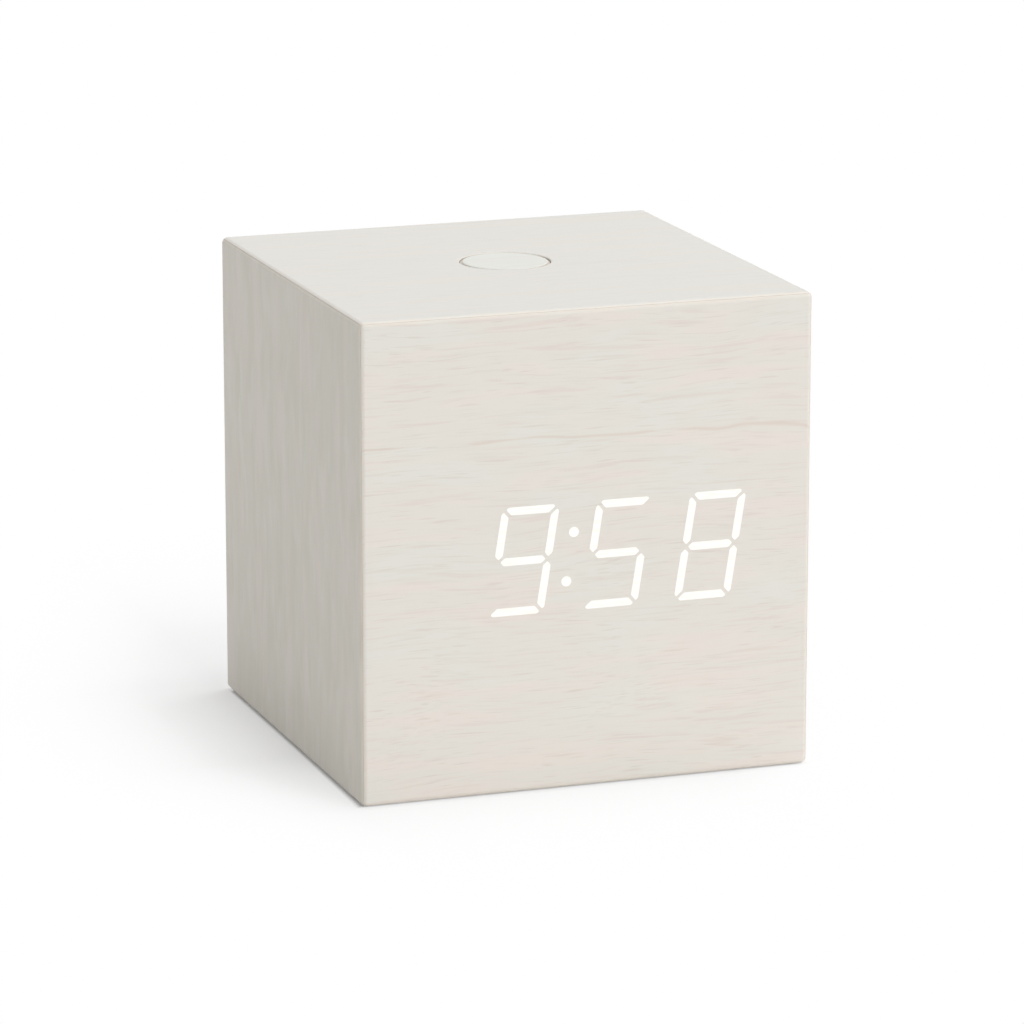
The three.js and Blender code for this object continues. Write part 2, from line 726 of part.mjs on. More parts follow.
const mainPegs = [
  [-boardRight + pegInset, boardUp - pegInset], [boardRight - pegInset, boardUp - pegInset],
  [boardRight - pegInset, -boardUp + pegInset],
];
const keys = ['down_key', 'up_key', 'set_key'].map((name, index) => (
  { name, y: lowestKeyY + keyPitch * index }
));
const tailTop = stripBottom - dropInGap;

const rear = new THREE.Group();
sides.back.group.add(rear);

function buildBack() {
  const { back } = sides;
  const recess = roundedOutline(panelWidth + dropInGap * 2, panelHeight + dropInGap * 2, panelCornerRadius);
  addPiece(back.group, 'back_veneer',
    cut(veneerSheet(back), slab(recess, -veneerThickness - overrun, overrun)), paleVeneer());
  const through = roundedOutline(rimWidth + dropInGap * 2, rimHeight + dropInGap * 2, windowCornerRadius);
  const holes = panelScrews.map(([x, y]) => pilotHole(x, y, panelBottom, screwLength, false));
  addPiece(back.group, 'back_board', cut(boardSolid(back),
    slab(recess, panelBottom - seatGap, overrun), slab(through, -cavityOffset - overrun, overrun), ...holes),
  fibreboard());
}

/** The slots in the bay's roof that the tails of the two contact strips pass through. */
function tailSlots() {
  return [contactX(-1), contactX(1)].map((x) => block(
    contactSheet + dropInGap * 2, rimWall + overrun, cellZ - contactTailWidth / 2 - dropInGap,
    cellZ + contactTailWidth / 2 + dropInGap, x, bayTop + rimWall / 2,
  ));
}

/** The middle of the contact strip at the left (-1) or right (1) end of the bay. */
function contactX(hand) {
  return bayMiddleX + hand * ((bayRight - bayLeft) / 2 - seatGap - contactSheet / 2);
}

function buildPanel() {
  const plate = slab(roundedOutline(panelWidth, panelHeight, panelCornerRadius), panelBottom, panelTop);
  const rimOuter = roundedOutline(rimWidth, rimHeight, windowCornerRadius);
  const rimInner = roundedOutline(rimWidth - rimWall * 2, rimHeight - rimWall * 2, windowCornerRadius / 2);
  const rim = cut(slab(rimOuter, panelBottom - rimDepth, panelBottom + panelThickness / 2),
    slab(rimInner, panelBottom - rimDepth - overrun, panelBottom));
  const bayWidth = bayRight - bayLeft;
  const bayHeight = bayTop - bayBottom;
  const bay = block(bayWidth + rimWall * 2, bayHeight + rimWall * 2, bayFloorBottom,
    panelBottom + panelThickness / 2, bayMiddleX, bayMiddleY)
    .intersect(slab(rimOuter, bayFloorBottom - overrun, panelTop));
  const bayHollow = block(bayWidth, bayHeight, bayFloorTop, overrun, bayMiddleX, bayMiddleY);
  const trunnionHoles = axle(trunnionRadius + dropInGap, bayLeft - rimWall - overrun,
    bayRight + rimWall + overrun, hingeY, hingeZ, roundSides);
  const thumb = drum(thumbRadius, panelTop - thumbDepth, overrun, bayMiddleX, bayTop, roundSides);

  const holeBottom = panelBottom - overrun;
  const keyHoles = keys.map(({ y }) => (
    drum(keyRadius + keyHoleClearance, holeBottom, overrun, keyX, y, roundSides)
  ));
  const usbHole = slab(roundedOutline(usbWidth + usbHoleMargin * 2, usbHeight + usbHoleMargin * 2,
    usbHeight / 2 + usbHoleMargin, usbX, topStripY), holeBottom, overrun);
  const vents = Array.from({ length: buzzerVentCount }, (unused, index) => {
    const angle = index / buzzerVentCount * Math.PI * 2;
    return drum(buzzerVentRadius, holeBottom, overrun, buzzerX + buzzerVentRing * Math.cos(angle),
      topStripY + buzzerVentRing * Math.sin(angle), ventSides);
  });
  const middleVent = drum(buzzerVentRadius, holeBottom, overrun, buzzerX, topStripY, ventSides);
  const soundHole = drum(microphoneHoleRadius, holeBottom, overrun, microphoneX, topStripY, ventSides);
  const slot = block(slideTabLength + slideTravel + slideSlotMargin * 2, slideTabWidth + slideSlotMargin * 2,
    holeBottom, overrun, slideX, topStripY);
  const screwHoles = panelScrews.map(([x, y]) => join(
    drum(screwRadius + screwHoleClearance, holeBottom, overrun, x, y),
    drum(screwHeadRadius + screwHoleClearance, panelTop - screwHeadHeight, overrun, x, y, roundSides),
  ));
  const pegs = mainPegs.map(([x, y]) => (
    stakedPeg(x, y, panelBottom + panelThickness / 2, mainBoardTop, mainBoardBottom)
  ));
  addPiece(rear, 'rear_panel', cut(join(plate, rim, bay, ...pegs), bayHollow, trunnionHoles, thumb,
    ...keyHoles, usbHole, ...vents, middleVent, soundHole, slot, ...screwHoles, ...tailSlots()),
  blackPlastic());
  panelScrews.forEach(([x, y], index) => {
    addPiece(rear, `panel_screw_${index + 1}`, screw(x, y, panelTop - screwHeadHeight + seatGap), steel());
  });
}

function buildMainBoard() {
  const outline = outlineThrough([
    [-boardRight, stripBottom], [columnLeft, stripBottom], [columnLeft, -boardUp], [boardRight, -boardUp],
    [boardRight, boardUp], [-boardRight, boardUp],
  ]);
  const root = mainBoardTop - boardSheet / 2;
  const switches = keys.map(({ y }) => tactSwitch(keyX, y, mainBoardTop));
  const slideBody = block(slideBodyLength, slideBodyWidth, root, mainBoardTop + slideBodyHeight,
    slideX, topStripY);
  const headerBottom = mainBoardBottom - headerHeight;
  const ribbonHeader = block(headerLength, headerWidth, headerBottom, root, -displayHeaderX, topStripY);
  const leadHeader = block(snoozeHeaderSize, headerWidth, headerBottom, root, -snoozeHeaderX, topStripY);
  const chip = block(chipSize, chipSize, mainBoardBottom - chipHeight, root,
    (columnLeft + boardRight) / 2, 0);
  const holes = mainPegs.map(([x, y]) => pegHole(x, y, mainBoardTop, mainBoardBottom));
  addPiece(rear, 'main_board', cut(join(slab(outline, mainBoardBottom, mainBoardTop), ...switches,
    slideBody, ribbonHeader, leadHeader, chip), ...holes), circuitBoard());
}

function buildControls() {
  for (const { name, y } of keys) {
    const rimTop = panelBottom - dropInGap;
    const cap = drum(keyRadius, rimTop - keyRimThickness / 2, panelTop + keyProud, keyX, y, roundSides);
    const rim = drum(keyRimRadius, rimTop - keyRimThickness, rimTop, keyX, y, roundSides);
    addPiece(rear, name, join(cap, rim), greyPlastic());
  }

  // The slide knob rests at the -X end of its slot as the panel is seen from behind.
  const knobX = slideX - slideTravel / 2;
  const footBottom = mainBoardTop + slideBodyHeight + seatGap;
  const foot = block(slideFootLength, slideFootWidth, footBottom, footBottom + slideFootHeight,
    knobX, topStripY);
  const tab = block(slideTabLength, slideTabWidth, footBottom + slideFootHeight / 2,
    panelTop + slideTabProud, knobX, topStripY);
  addPiece(rear, 'sound_switch_knob', join(foot, tab), whitePlastic());

  const shellBottom = mainBoardTop + seatGap;
  const shellTop = panelTop - usbRecess;
  const outer = roundedOutline(usbWidth, usbHeight, usbHeight / 2, usbX, topStripY);
  const innerWidth = usbWidth - usbWall * 2;
  const innerHeight = usbHeight - usbWall * 2;
  const inner = roundedOutline(innerWidth, innerHeight, innerHeight / 2, usbX, topStripY);
  addPiece(rear, 'usb_socket',
    cut(slab(outer, shellBottom, shellTop), slab(inner, shellBottom + usbFloor, overrun)), steel());
  addPiece(rear, 'usb_tongue', block(usbTongueWidth, usbTongueThickness, shellBottom + usbFloor + seatGap,
    shellTop - usbTongueRecess, usbX, topStripY), blackPlastic());

  addPiece(rear, 'buzzer', drum(buzzerRadius, shellBottom, shellBottom + buzzerHeight,
    buzzerX, topStripY, roundSides), blackPlastic());
  addPiece(rear, 'microphone', drum(microphoneRadius, shellBottom, shellBottom + microphoneHeight,
    microphoneX, topStripY, roundSides), steel());
}

function buildBattery() {
  const doorWidth = bayRight - bayLeft - dropInGap * 2;
  const doorTop = bayTop - dropInGap;
  const doorBottomZ = panelTop - doorThickness;
  const plate = block(doorWidth, doorTop - hingeY, doorBottomZ, panelTop, bayMiddleX, (doorTop + hingeY) / 2);
  const half = doorWidth / 2;
  const barrel = axle(hingeBarrelRadius, bayMiddleX - half, bayMiddleX + half, hingeY, hingeZ, roundSides);
  const pins = axle(trunnionRadius, bayMiddleX - half - trunnionLength, bayMiddleX + half + trunnionLength,
    hingeY, hingeZ);
  const ribs = Array.from({ length: doorRibCount }, (unused, index) => block(doorRibWidth, doorRibPitch / 2,
    doorBottomZ + doorThickness / 2, panelTop + doorRibHeight, bayMiddleX,
    doorTop - doorRibDrop - index * doorRibPitch));
  addPiece(rear, 'battery_door', join(plate, barrel, pins, ...ribs), blackPlastic());

  const cellYs = Array.from({ length: cellCount }, (unused, index) => (
    cellsBottom + cellPitch * index + cellPitch / 2
  ));
  cellYs.forEach((y, index) => {
    const hand = index % 2 === 0 ? 1 : -1;
    const half = cellLength / 2;
    const shoulder = half - cellNubHeight;
    const profile = [
      [0, -half], [cellRadius - cellEdge, -half], [cellRadius, cellEdge - half],
      [cellRadius, shoulder - cellEdge], [cellRadius - cellEdge, shoulder], [cellNubRadius, shoulder],
      [cellNubRadius, half], [0, half],
    ];
    const lying = geometryFrom(turned(profile)).rotateY(hand * Math.PI / 2);
    const cell = solidFrom(lying.translate(bayMiddleX, y, cellZ));
    addPiece(rear, `battery_cell_${index + 1}`, cell, cellWrap());
  });

  [['left', -1], ['right', 1]].forEach(([name, hand]) => {
    const x = contactX(hand);
    const stripHeight = cellPitch * cellCount - cellPitch / 2;
    const strip = block(contactSheet, stripHeight, cellZ - cellRadius / 2, cellZ + cellRadius / 2, x,
      cellsBottom + cellPitch * cellCount / 2);
    const tailBottom = cellsBottom + cellPitch * cellCount / 2;
    const tail = block(contactSheet, tailTop - tailBottom, cellZ - contactTailWidth / 2,
      cellZ + contactTailWidth / 2, x, (tailTop + tailBottom) / 2);
    const tip = bayMiddleX + hand * (cellLength / 2 + dropInGap);
    const [start, end] = hand < 0 ? [x, tip] : [tip, x];
    const [startRadius, endRadius] = hand < 0 ? [contactBumpRadius, contactTipRadius]
      : [contactTipRadius, contactBumpRadius];
    const bumps = cellYs.map((y) => axle(startRadius, start, end, y, cellZ, smallSides, endRadius));
    addPiece(rear, `battery_contact_${name}`, join(strip, tail, ...bumps), steel());
  });
}

function buildFeetAndSides() {
  const { bottom, left, right } = sides;
  const places = fourCorners
    .map(([x, y]) => [x * (caseWidth / 2 - footInset), y * (caseDepth / 2 - footInset)]);
  const footTop = footProud - footThickness;
  const recesses = places.map(([x, y]) => (
    drum(footRadius + dropInGap, footTop - dropInGap, overrun, x, y, roundSides)
  ));
  addPiece(bottom.group, 'bottom_veneer', cut(veneerSheet(bottom), ...recesses), paleVeneer());
  addPiece(bottom.group, 'bottom_board', cut(boardSolid(bottom), ...recesses), fibreboard());
  places.forEach(([x, y], index) => {
    const foot = drum(footRadius, footTop, footProud, x, y, roundSides);
    addPiece(bottom.group, `foot_${index + 1}`, foot, rubber());
  });
  for (const [name, side] of [['left', left], ['right', right]]) {
    addPiece(side.group, `${name}_veneer`, veneerSheet(side), paleVeneer());
    addPiece(side.group, `${name}_board`, boardSolid(side), fibreboard());
  }
}

// The inner leads, from a header on one board to the header on the main board.
const displayLeadStart = -caseDepth / 2 - displayBoardBottom + headerHeight + dropInGap;
const mainLeadEnd = caseDepth / 2 + mainBoardBottom - headerHeight - dropInGap;
const mainHeaderZ = caseMiddle + topStripY;

/** A smooth path through the clock at one x, through [y, z] points. */
function leadPath(x, points) {
  return new THREE.CatmullRomCurve3(points.map(([y, z]) => new THREE.Vector3(x, y, z)));
}

function buildLeads() {
  const ribbonStartZ = caseMiddle + displayY + displayHeaderRise;
  const lowZ = Math.min(ribbonStartZ, mainHeaderZ) - ribbonSag;
  const startShare = 0.15;
  const lowShare = 0.4;
  const span = mainLeadEnd - displayLeadStart;
  const ribbonPath = leadPath(displayHeaderX, [
    [displayLeadStart, ribbonStartZ], [displayLeadStart + span * startShare, ribbonStartZ],
    [displayLeadStart + span * lowShare, lowZ], [mainLeadEnd - span * lowShare, lowZ],
    [mainLeadEnd - span * startShare, mainHeaderZ], [mainLeadEnd, mainHeaderZ],
  ]);
  const flat = outlineThrough([
    [ribbonWidth / 2, ribbonThickness / 2], [-ribbonWidth / 2, ribbonThickness / 2],
    [-ribbonWidth / 2, -ribbonThickness / 2], [ribbonWidth / 2, -ribbonThickness / 2],
  ]);
  const ribbon = new THREE.ExtrudeGeometry(flat, { extrudePath: ribbonPath, steps: leadSteps,
    bevelEnabled: false });
  addPiece(clock, 'display_ribbon', solidFrom(ribbon), greyPlastic());

  const leadTop = caseTop + snoozeBoardBottom - snoozeHeaderSize - dropInGap;
  const lead = leadPath(snoozeHeaderX, [
    [buttonY, leadTop], [buttonY, leadTop - leadSag / 2], [buttonY + leadSag / 2, leadTop - leadSag],
    [mainLeadEnd / 2, mainHeaderZ - leadSag / 2], [mainLeadEnd - leadSag / 2, mainHeaderZ],
    [mainLeadEnd, mainHeaderZ],
  ]);
  const cable = new THREE.ExtrudeGeometry(circleOutline(leadRadius, leadSides), {
    extrudePath: lead, steps: leadSteps, bevelEnabled: false });
  addPiece(clock, 'snooze_lead', solidFrom(cable), rubber());
}

buildFront();
buildDisplay();
buildTop();
buildSnooze();
buildBack();
buildPanel();
buildMainBoard();
buildControls();
buildBattery();
buildFeetAndSides();
buildLeads();

export default clock;
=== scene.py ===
"""The looks of a cube-shaped alarm clock in whitewashed wood veneer.

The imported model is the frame. This script wraps it in fine surfaces and real finishes, and adds
the pale floor, the soft lights and the camera. Sizes are in millimetres until a mesh is made,
and positions follow the frame: +Z up, the display on the -Y side.
"""

from __future__ import annotations

import logging
import math
from dataclasses import dataclass, field, replace
from enum import Enum

import bmesh
import bpy
import numpy as np
from mathutils import Matrix, Vector


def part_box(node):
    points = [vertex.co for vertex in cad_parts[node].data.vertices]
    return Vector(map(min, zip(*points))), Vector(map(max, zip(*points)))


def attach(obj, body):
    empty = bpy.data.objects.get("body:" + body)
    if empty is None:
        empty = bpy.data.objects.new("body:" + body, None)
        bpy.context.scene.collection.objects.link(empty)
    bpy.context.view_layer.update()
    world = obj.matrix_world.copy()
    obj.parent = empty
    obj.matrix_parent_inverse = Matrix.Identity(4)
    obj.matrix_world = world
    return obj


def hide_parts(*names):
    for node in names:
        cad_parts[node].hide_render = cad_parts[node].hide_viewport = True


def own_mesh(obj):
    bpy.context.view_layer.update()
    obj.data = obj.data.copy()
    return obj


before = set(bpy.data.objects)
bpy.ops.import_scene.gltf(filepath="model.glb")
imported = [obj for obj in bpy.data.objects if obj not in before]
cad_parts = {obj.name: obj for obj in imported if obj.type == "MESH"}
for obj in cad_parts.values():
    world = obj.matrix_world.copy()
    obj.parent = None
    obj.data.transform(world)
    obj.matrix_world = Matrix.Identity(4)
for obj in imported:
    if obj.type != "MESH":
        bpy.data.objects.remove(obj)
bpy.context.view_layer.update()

MM = 0.001
LOG = logging.getLogger("alarm_clock")

# Points nearer than this many millimetres are one point.
MERGE_DISTANCE = 0.0005
# Edges whose faces turn by more than this many degrees stay sharp.
SHARP_TURN = 40.0
# The mesh attribute that says how near an edge of its piece a point is, from 0 to 1.
EDGE = "edge"

Array = np.ndarray
Points = list[tuple[float, float]]
Pairs = tuple[tuple[float, float], ...]
Triple = tuple[float, float, float]
Object = bpy.types.Object
Material = bpy.types.Material
Tree = bpy.types.NodeTree
Socket = bpy.types.NodeSocket


class Side(Enum):
    """A side of the case: which way x and y run across it, and which way it faces."""

    FRONT = ((1, 0, 0), (0, 0, 1), (0, -1, 0))
    BACK = ((-1, 0, 0), (0, 0, 1), (0, 1, 0))
    LEFT = ((0, -1, 0), (0, 0, 1), (-1, 0, 0))
    RIGHT = ((0, 1, 0), (0, 0, 1), (1, 0, 0))
    TOP = ((1, 0, 0), (0, 1, 0), (0, 0, 1))

    @property
    def outward(self) -> Array:
        """The way the side faces."""
        return np.array(self.value[2], float)

    def placed(self, points: Array, middle: Array) -> Array:
        """Points drawn on the side, as x, y and height above it, turned into the frame."""
        return middle + points @ np.array(self.value, float)


class Grain(Enum):
    """The axis that the wood's grain runs along, as a pattern's length along x, y and z."""

    ALONG_X = (1, 0, 0)
    ALONG_Z = (0, 0, 1)

    def periods(self, along: float, across: float) -> Triple:
        """A value along the grain and another across it, as one for each axis."""
        return tuple(along if axis else across for axis in self.value)


# Surfaces


@dataclass
class Shell:
    """A surface in millimetres: points, the quads between them, and how near an edge each is."""

    points: Array
    quads: Array
    edge: Array

    def moved(self, side: Side, middle: Array) -> Shell:
        """The same surface, drawn on one side of the case."""
        return replace(self, points=side.placed(self.points, middle))

    def shifted(self, by: Array) -> Shell:
        """The same surface, moved without a turn."""
        return replace(self, points=self.points + by)


def grid_quads(rows: int, columns: int, close_rows: bool) -> Array:
    """Joins each point of a grid to its neighbours in the next row and column.

    The columns always close on themselves; the rows do where close_rows says so.

    Args:
        rows: how many rows the grid has.
        columns: how many points each row has.
        close_rows: whether the last row joins the first.

    Returns:
        One line of four point numbers for each quad.
    """
    row, column = np.mgrid[0:rows if close_rows else rows - 1, 0:columns]
    below, after = (row + 1) % rows, (column + 1) % columns
    corners = (row * columns + column, row * columns + after,
               below * columns + after, below * columns + column)
    return np.stack(corners, axis=-1).reshape(-1, 4)


def lofted(rows: list[Array], close_rows: bool = False, edge: list[float] | None = None) -> Shell:
    """A surface carried from one closed outline to the next.

    Args:
        rows: the outlines, each with the same number of points.
        close_rows: whether the last outline joins the first, as round a ring.
        edge: how near each outline is to an edge of the piece, from 0 to 1.

    Returns:
        The surface.
    """
    points = np.stack(rows)
    count, columns = points.shape[:2]
    shares = np.repeat(np.zeros(count) if edge is None else np.array(edge, float), columns)
    return Shell(points.reshape(-1, 3), grid_quads(count, columns, close_rows), shares)


def level(outline: Array, height: float | Array) -> Array:
    """An outline of x and y points raised to one height."""
    heights = np.broadcast_to(np.asarray(height, float), outline.shape[:1])
    return np.column_stack([outline, heights])


def pole(point: tuple[float, float], height: float, columns: int) -> Array:
    """An outline drawn together to one point, where a surface closes."""
    return level(np.tile(np.array(point, float), (columns, 1)), height)


def once_round(steps: int) -> Array:
    """Evenly spread angles in radians, once round."""
    return np.linspace(0, 2 * np.pi, steps, endpoint=False)


def directions(angles: Array) -> Array:
    """The direction (cos t, sin t) of each angle t."""
    return np.column_stack([np.cos(angles), np.sin(angles)])


def ring(radius: float, steps: int) -> Array:
    """A circle's points about the middle."""
    return radius * directions(once_round(steps))


def quarter(centre: tuple[float, float], radius: float, first: float, steps: int) -> Points:
    """Points on a quarter of a circle, from one angle in degrees to 90 more."""
    turn = np.radians(np.linspace(first, first + 90, steps + 1))
    return [(centre[0] + radius * math.cos(t), centre[1] + radius * math.sin(t)) for t in turn]


def stepped(start: tuple[float, float], steps: Pairs) -> Points:
    """Points at given steps from a start."""
    return [(start[0] + out, start[1] + up) for out, up in steps]


def revolved(profile: Points, steps: int, edge: list[float] | None = None) -> Shell:
    """A profile of radius r and height h turned about an upright axis: (r cos t, r sin t, h).

    Args:
        profile: the radius and height of each point, from one end of the axis to the other.
        steps: how many points each circle has.
        edge: how near each circle is to an edge of the piece, from 0 to 1.

    Returns:
        The closed surface.
    """
    circle = ring(1.0, steps)
    return lofted([level(circle * radius, height) for radius, height in profile], edge=edge)


def softened(corners: Array, radius: float, steps: int) -> Array:
    """A polygon whose corners are drawn as short curves.

    Each corner B between points A and C on its two sides becomes the curve
    (1 - t)(1 - t)A + 2t(1 - t)B + ttC, with t from 0 to 1.

    Args:
        corners: the polygon's corners.
        radius: how far along each side its curves reach.
        steps: how many steps each curve has.

    Returns:
        The outline's points.
    """
    before = np.roll(corners, 1, axis=0) - corners
    after = np.roll(corners, -1, axis=0) - corners
    start = corners + radius * before / np.linalg.norm(before, axis=1, keepdims=True)
    end = corners + radius * after / np.linalg.norm(after, axis=1, keepdims=True)
    t = np.linspace(0, 1, steps + 1)[None, :, None]
    curve = ((1 - t) ** 2 * start[:, None] + 2 * t * (1 - t) * corners[:, None]
             + t ** 2 * end[:, None])
    return curve.reshape(-1, 2)


def plate(outline: Array, low: float, high: float, edge: float = 0.0) -> Shell:
    """A closed plate over an outline.

    Args:
        outline: its x and y points.
        low: the height of its underside.
        high: the height of its top.
        edge: how near an edge of the piece it counts as, from 0 to 1.

    Returns:
        The closed surface.
    """
    middle, count = tuple(outline.mean(axis=0)), len(outline)
    rows = [pole(middle, low, count), level(outline, low), level(outline, high),
            pole(middle, high, count)]
    return lofted(rows, edge=[edge] * len(rows))


# Pieces


@dataclass(frozen=True)
class Box:
    """The space that a node of the frame fills at rest, in millimetres."""

    low: Array
    high: Array

    @classmethod
    def of(cls, node: str) -> Box:
        """Reads a node's space from the frame."""
        return cls(*(np.array(corner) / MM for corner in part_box(node)))

    @property
    def middle(self) -> Array:
        """The middle of the space."""
        return (self.low + self.high) / 2

    @property
    def size(self) -> Array:
        """How far the space reaches along x, y and z."""
        return self.high - self.low

    def middle_at(self, axis: int, value: float) -> Array:
        """The middle, moved along one axis to a value."""
        return np.where(np.arange(3) == axis, value, self.middle)


def linked(name: str, data: bpy.types.ID) -> Object:
    """Puts a mesh, a lamp or a camera into the scene.

    Args:
        name: the object's name.
        data: what it holds.

    Returns:
        The object, at the origin.
    """
    holder = bpy.data.objects.new(name, data)
    bpy.context.scene.collection.objects.link(holder)
    return holder


def make_piece(name: str, shells: list[Shell]) -> Object:
    """Makes one object from surfaces, with their doubled points merged and faces outwards.

    Args:
        name: the piece's name.
        shells: its surfaces, in the frame.

    Returns:
        The object, at the origin, with its place in its mesh.
    """
    starts = np.cumsum([0] + [len(shell.points) for shell in shells[:-1]])
    points = np.concatenate([shell.points for shell in shells]) * MM
    quads = np.concatenate([shell.quads + start for shell, start in zip(shells, starts)])
    edge = np.concatenate([shell.edge for shell in shells])
    mesh = bpy.data.meshes.new(name)
    mesh.from_pydata(points.tolist(), [], quads.tolist())
    near = mesh.attributes.new(EDGE, "FLOAT", "POINT")
    near.data.foreach_set("value", edge.astype(np.float32))
    finished = bmesh.new()
    finished.from_mesh(mesh)
    bmesh.ops.remove_doubles(finished, verts=finished.verts, dist=MERGE_DISTANCE * MM)
    bmesh.ops.dissolve_degenerate(finished, edges=finished.edges, dist=MERGE_DISTANCE * MM)
    bmesh.ops.recalc_face_normals(finished, faces=finished.faces)
    finished.to_mesh(mesh)
    finished.free()
    mesh.shade_smooth()
    mesh.set_sharp_from_angle(angle=math.radians(SHARP_TURN))
    return linked(name, mesh)


def dressed(piece: Object, material: Material, body: str, slot: str, *nodes: str) -> None:
    """Gives a piece its finish and says what it is to the frame.

    Args:
        piece: the object.
        material: its finish.
        body: the body it rides on.
        slot: the record's material slot; not used.
        nodes: the nodes it stands for.
    """
    piece.data.materials.clear()
    piece.data.materials.append(material)
    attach(piece, body)
    if nodes:
        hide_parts(*nodes)
    LOG.info("%s: %d faces, rides on %s", piece.name, len(piece.data.polygons), body)


def repaint(material: Material, *nodes: str) -> None:
    """Gives nodes of the frame a better material, in the slots they have.

    Args:
        material: the finish.
        nodes: the nodes' names.
    """
    for name in nodes:
        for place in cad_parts[name].material_slots:
            place.material = material
        LOG.info("%s: %s", name, material.name)


@dataclass(frozen=True)
class Mould:
    """A mould that rounds the sharp edges of a node's solid.

    It rounds where faces turn by more than sharp degrees. Faces that turn by less than flat
    degrees are one face.
    """

    rounding: float
    flat: float = 0.5
    sharp: float = 35.0
    segments: int = 2

    def cast(self, node: str, material: Material, body: str, slot: str) -> None:
        """Makes a copy of a node's solid with its edges rounded.

        Args:
            node: the node that the copy stands for.
            material: its finish.
            body: the body it rides on.
            slot: the record's material slot.
        """
        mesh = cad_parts[node].data.copy()
        merged = bmesh.new()
        merged.from_mesh(mesh)
        bmesh.ops.remove_doubles(merged, verts=merged.verts, dist=MERGE_DISTANCE * MM)
        bmesh.ops.dissolve_limit(merged, angle_limit=math.radians(self.flat), verts=merged.verts,
                                 edges=merged.edges)
        merged.to_mesh(mesh)
        merged.free()
        mesh.shade_smooth()
        piece = linked(f"{node}_moulding", mesh)
        bevel = piece.modifiers.new("rounding", "BEVEL")
        bevel.width = self.rounding * MM
        bevel.segments = self.segments
        bevel.limit_method = "ANGLE"
        bevel.angle_limit = math.radians(self.sharp)
        shading = piece.modifiers.new("flat_faces", "WEIGHTED_NORMAL")
        shading.keep_sharp = True
        dressed(piece, material, body, slot, node)


# Finishes

# Moves the fine relief's noise away from the layers' noises.
GRIT_SHIFT = 5.0
# Where a noise is taken as at its lowest and highest, when the roughness swings with it.
NOISE_ENDS = (0.3, 0.7)
BUMP_STRENGTH = 0.5


def linear(colour: str) -> tuple[float, float, float, float]:
    """An sRGB hex colour as linear red, green, blue and full alpha.

    A share s is s / 12.92 up to 0.04045, and ((s + 0.055) / 1.055) to the power 2.4 above it.

    Args:
        colour: the colour, as #RRGGBB.

    Returns:
        The four values.
    """
    shares = [int(colour[i:i + 2], 16) / 255 for i in (1, 3, 5)]
    toe, slope, offset, power = 0.04045, 12.92, 0.055, 2.4
    values = [s / slope if s <= toe else ((s + offset) / (1 + offset)) ** power for s in shares]
    return (*values, 1.0)


def even(size: float) -> Triple:
    """The same size along x, y and z."""
    return (size, size, size)


def per_metre(sizes: Triple) -> Triple:
    """How often a pattern with these sizes in millimetres repeats in a metre."""
    return tuple(1 / (millimetres * MM) for millimetres in sizes)


def add_node(tree: Tree, kind: str, settings: dict[str, object],
             inputs: dict[object, object]) -> bpy.types.Node:
    """Adds a shader node with its settings and links.

    Args:
        tree: the material's node tree.
        kind: the node's type.
        settings: values of the node's own properties.
        inputs: a value, or a socket to link, for each input by its name or number.

    Returns:
        The node.
    """
    node = tree.nodes.new(kind)
    for name, value in settings.items():
        setattr(node, name, value)
    for name, value in inputs.items():
        if isinstance(value, Socket):
            tree.links.new(value, node.inputs[name])
        else:
            node.inputs[name].default_value = value
    return node


@dataclass(frozen=True)
class Layer:
    """A colour laid over the rest where a noise pattern is strong.

    The pattern's blotches measure size millimetres along x, y and z. It shows nothing at low
    and its full strength at high.
    """

    colour: str
    size: Triple
    low: float = 0.45
    high: float = 0.65
    strength: float = 1.0
    detail: float = 2.0
    shift: float = 0.0

    def noise(self, tree: Tree, place: Socket) -> Socket:
        """The layer's pattern, from 0 to 1.

        Args:
            tree: the material's node tree.
            place: the coordinates it is drawn on.

        Returns:
            The pattern's socket.
        """
        mapping = add_node(tree, "ShaderNodeMapping", {}, {
            "Vector": place, "Scale": per_metre(self.size), "Location": even(self.shift)})
        noise = add_node(tree, "ShaderNodeTexNoise", {},
                         {"Vector": mapping.outputs[0], "Scale": 1.0, "Detail": self.detail})
        return noise.outputs[0]

    def laid(self, tree: Tree, under: object, value: Socket) -> Socket:
        """Lays the layer's colour over another, as strongly as a value asks.

        Args:
            tree: the material's node tree.
            under: the colour or socket underneath.
            value: the pattern, compared with low and high.

        Returns:
            The colour of both.
        """
        share = add_node(tree, "ShaderNodeMapRange", {"interpolation_type": "SMOOTHSTEP"},
                         {0: value, 1: self.low, 2: self.high, 3: 0.0, 4: self.strength})
        both = add_node(tree, "ShaderNodeMix", {"data_type": "RGBA"},
                        {0: share.outputs[0], 6: under, 7: linear(self.colour)})
        return both.outputs[2]


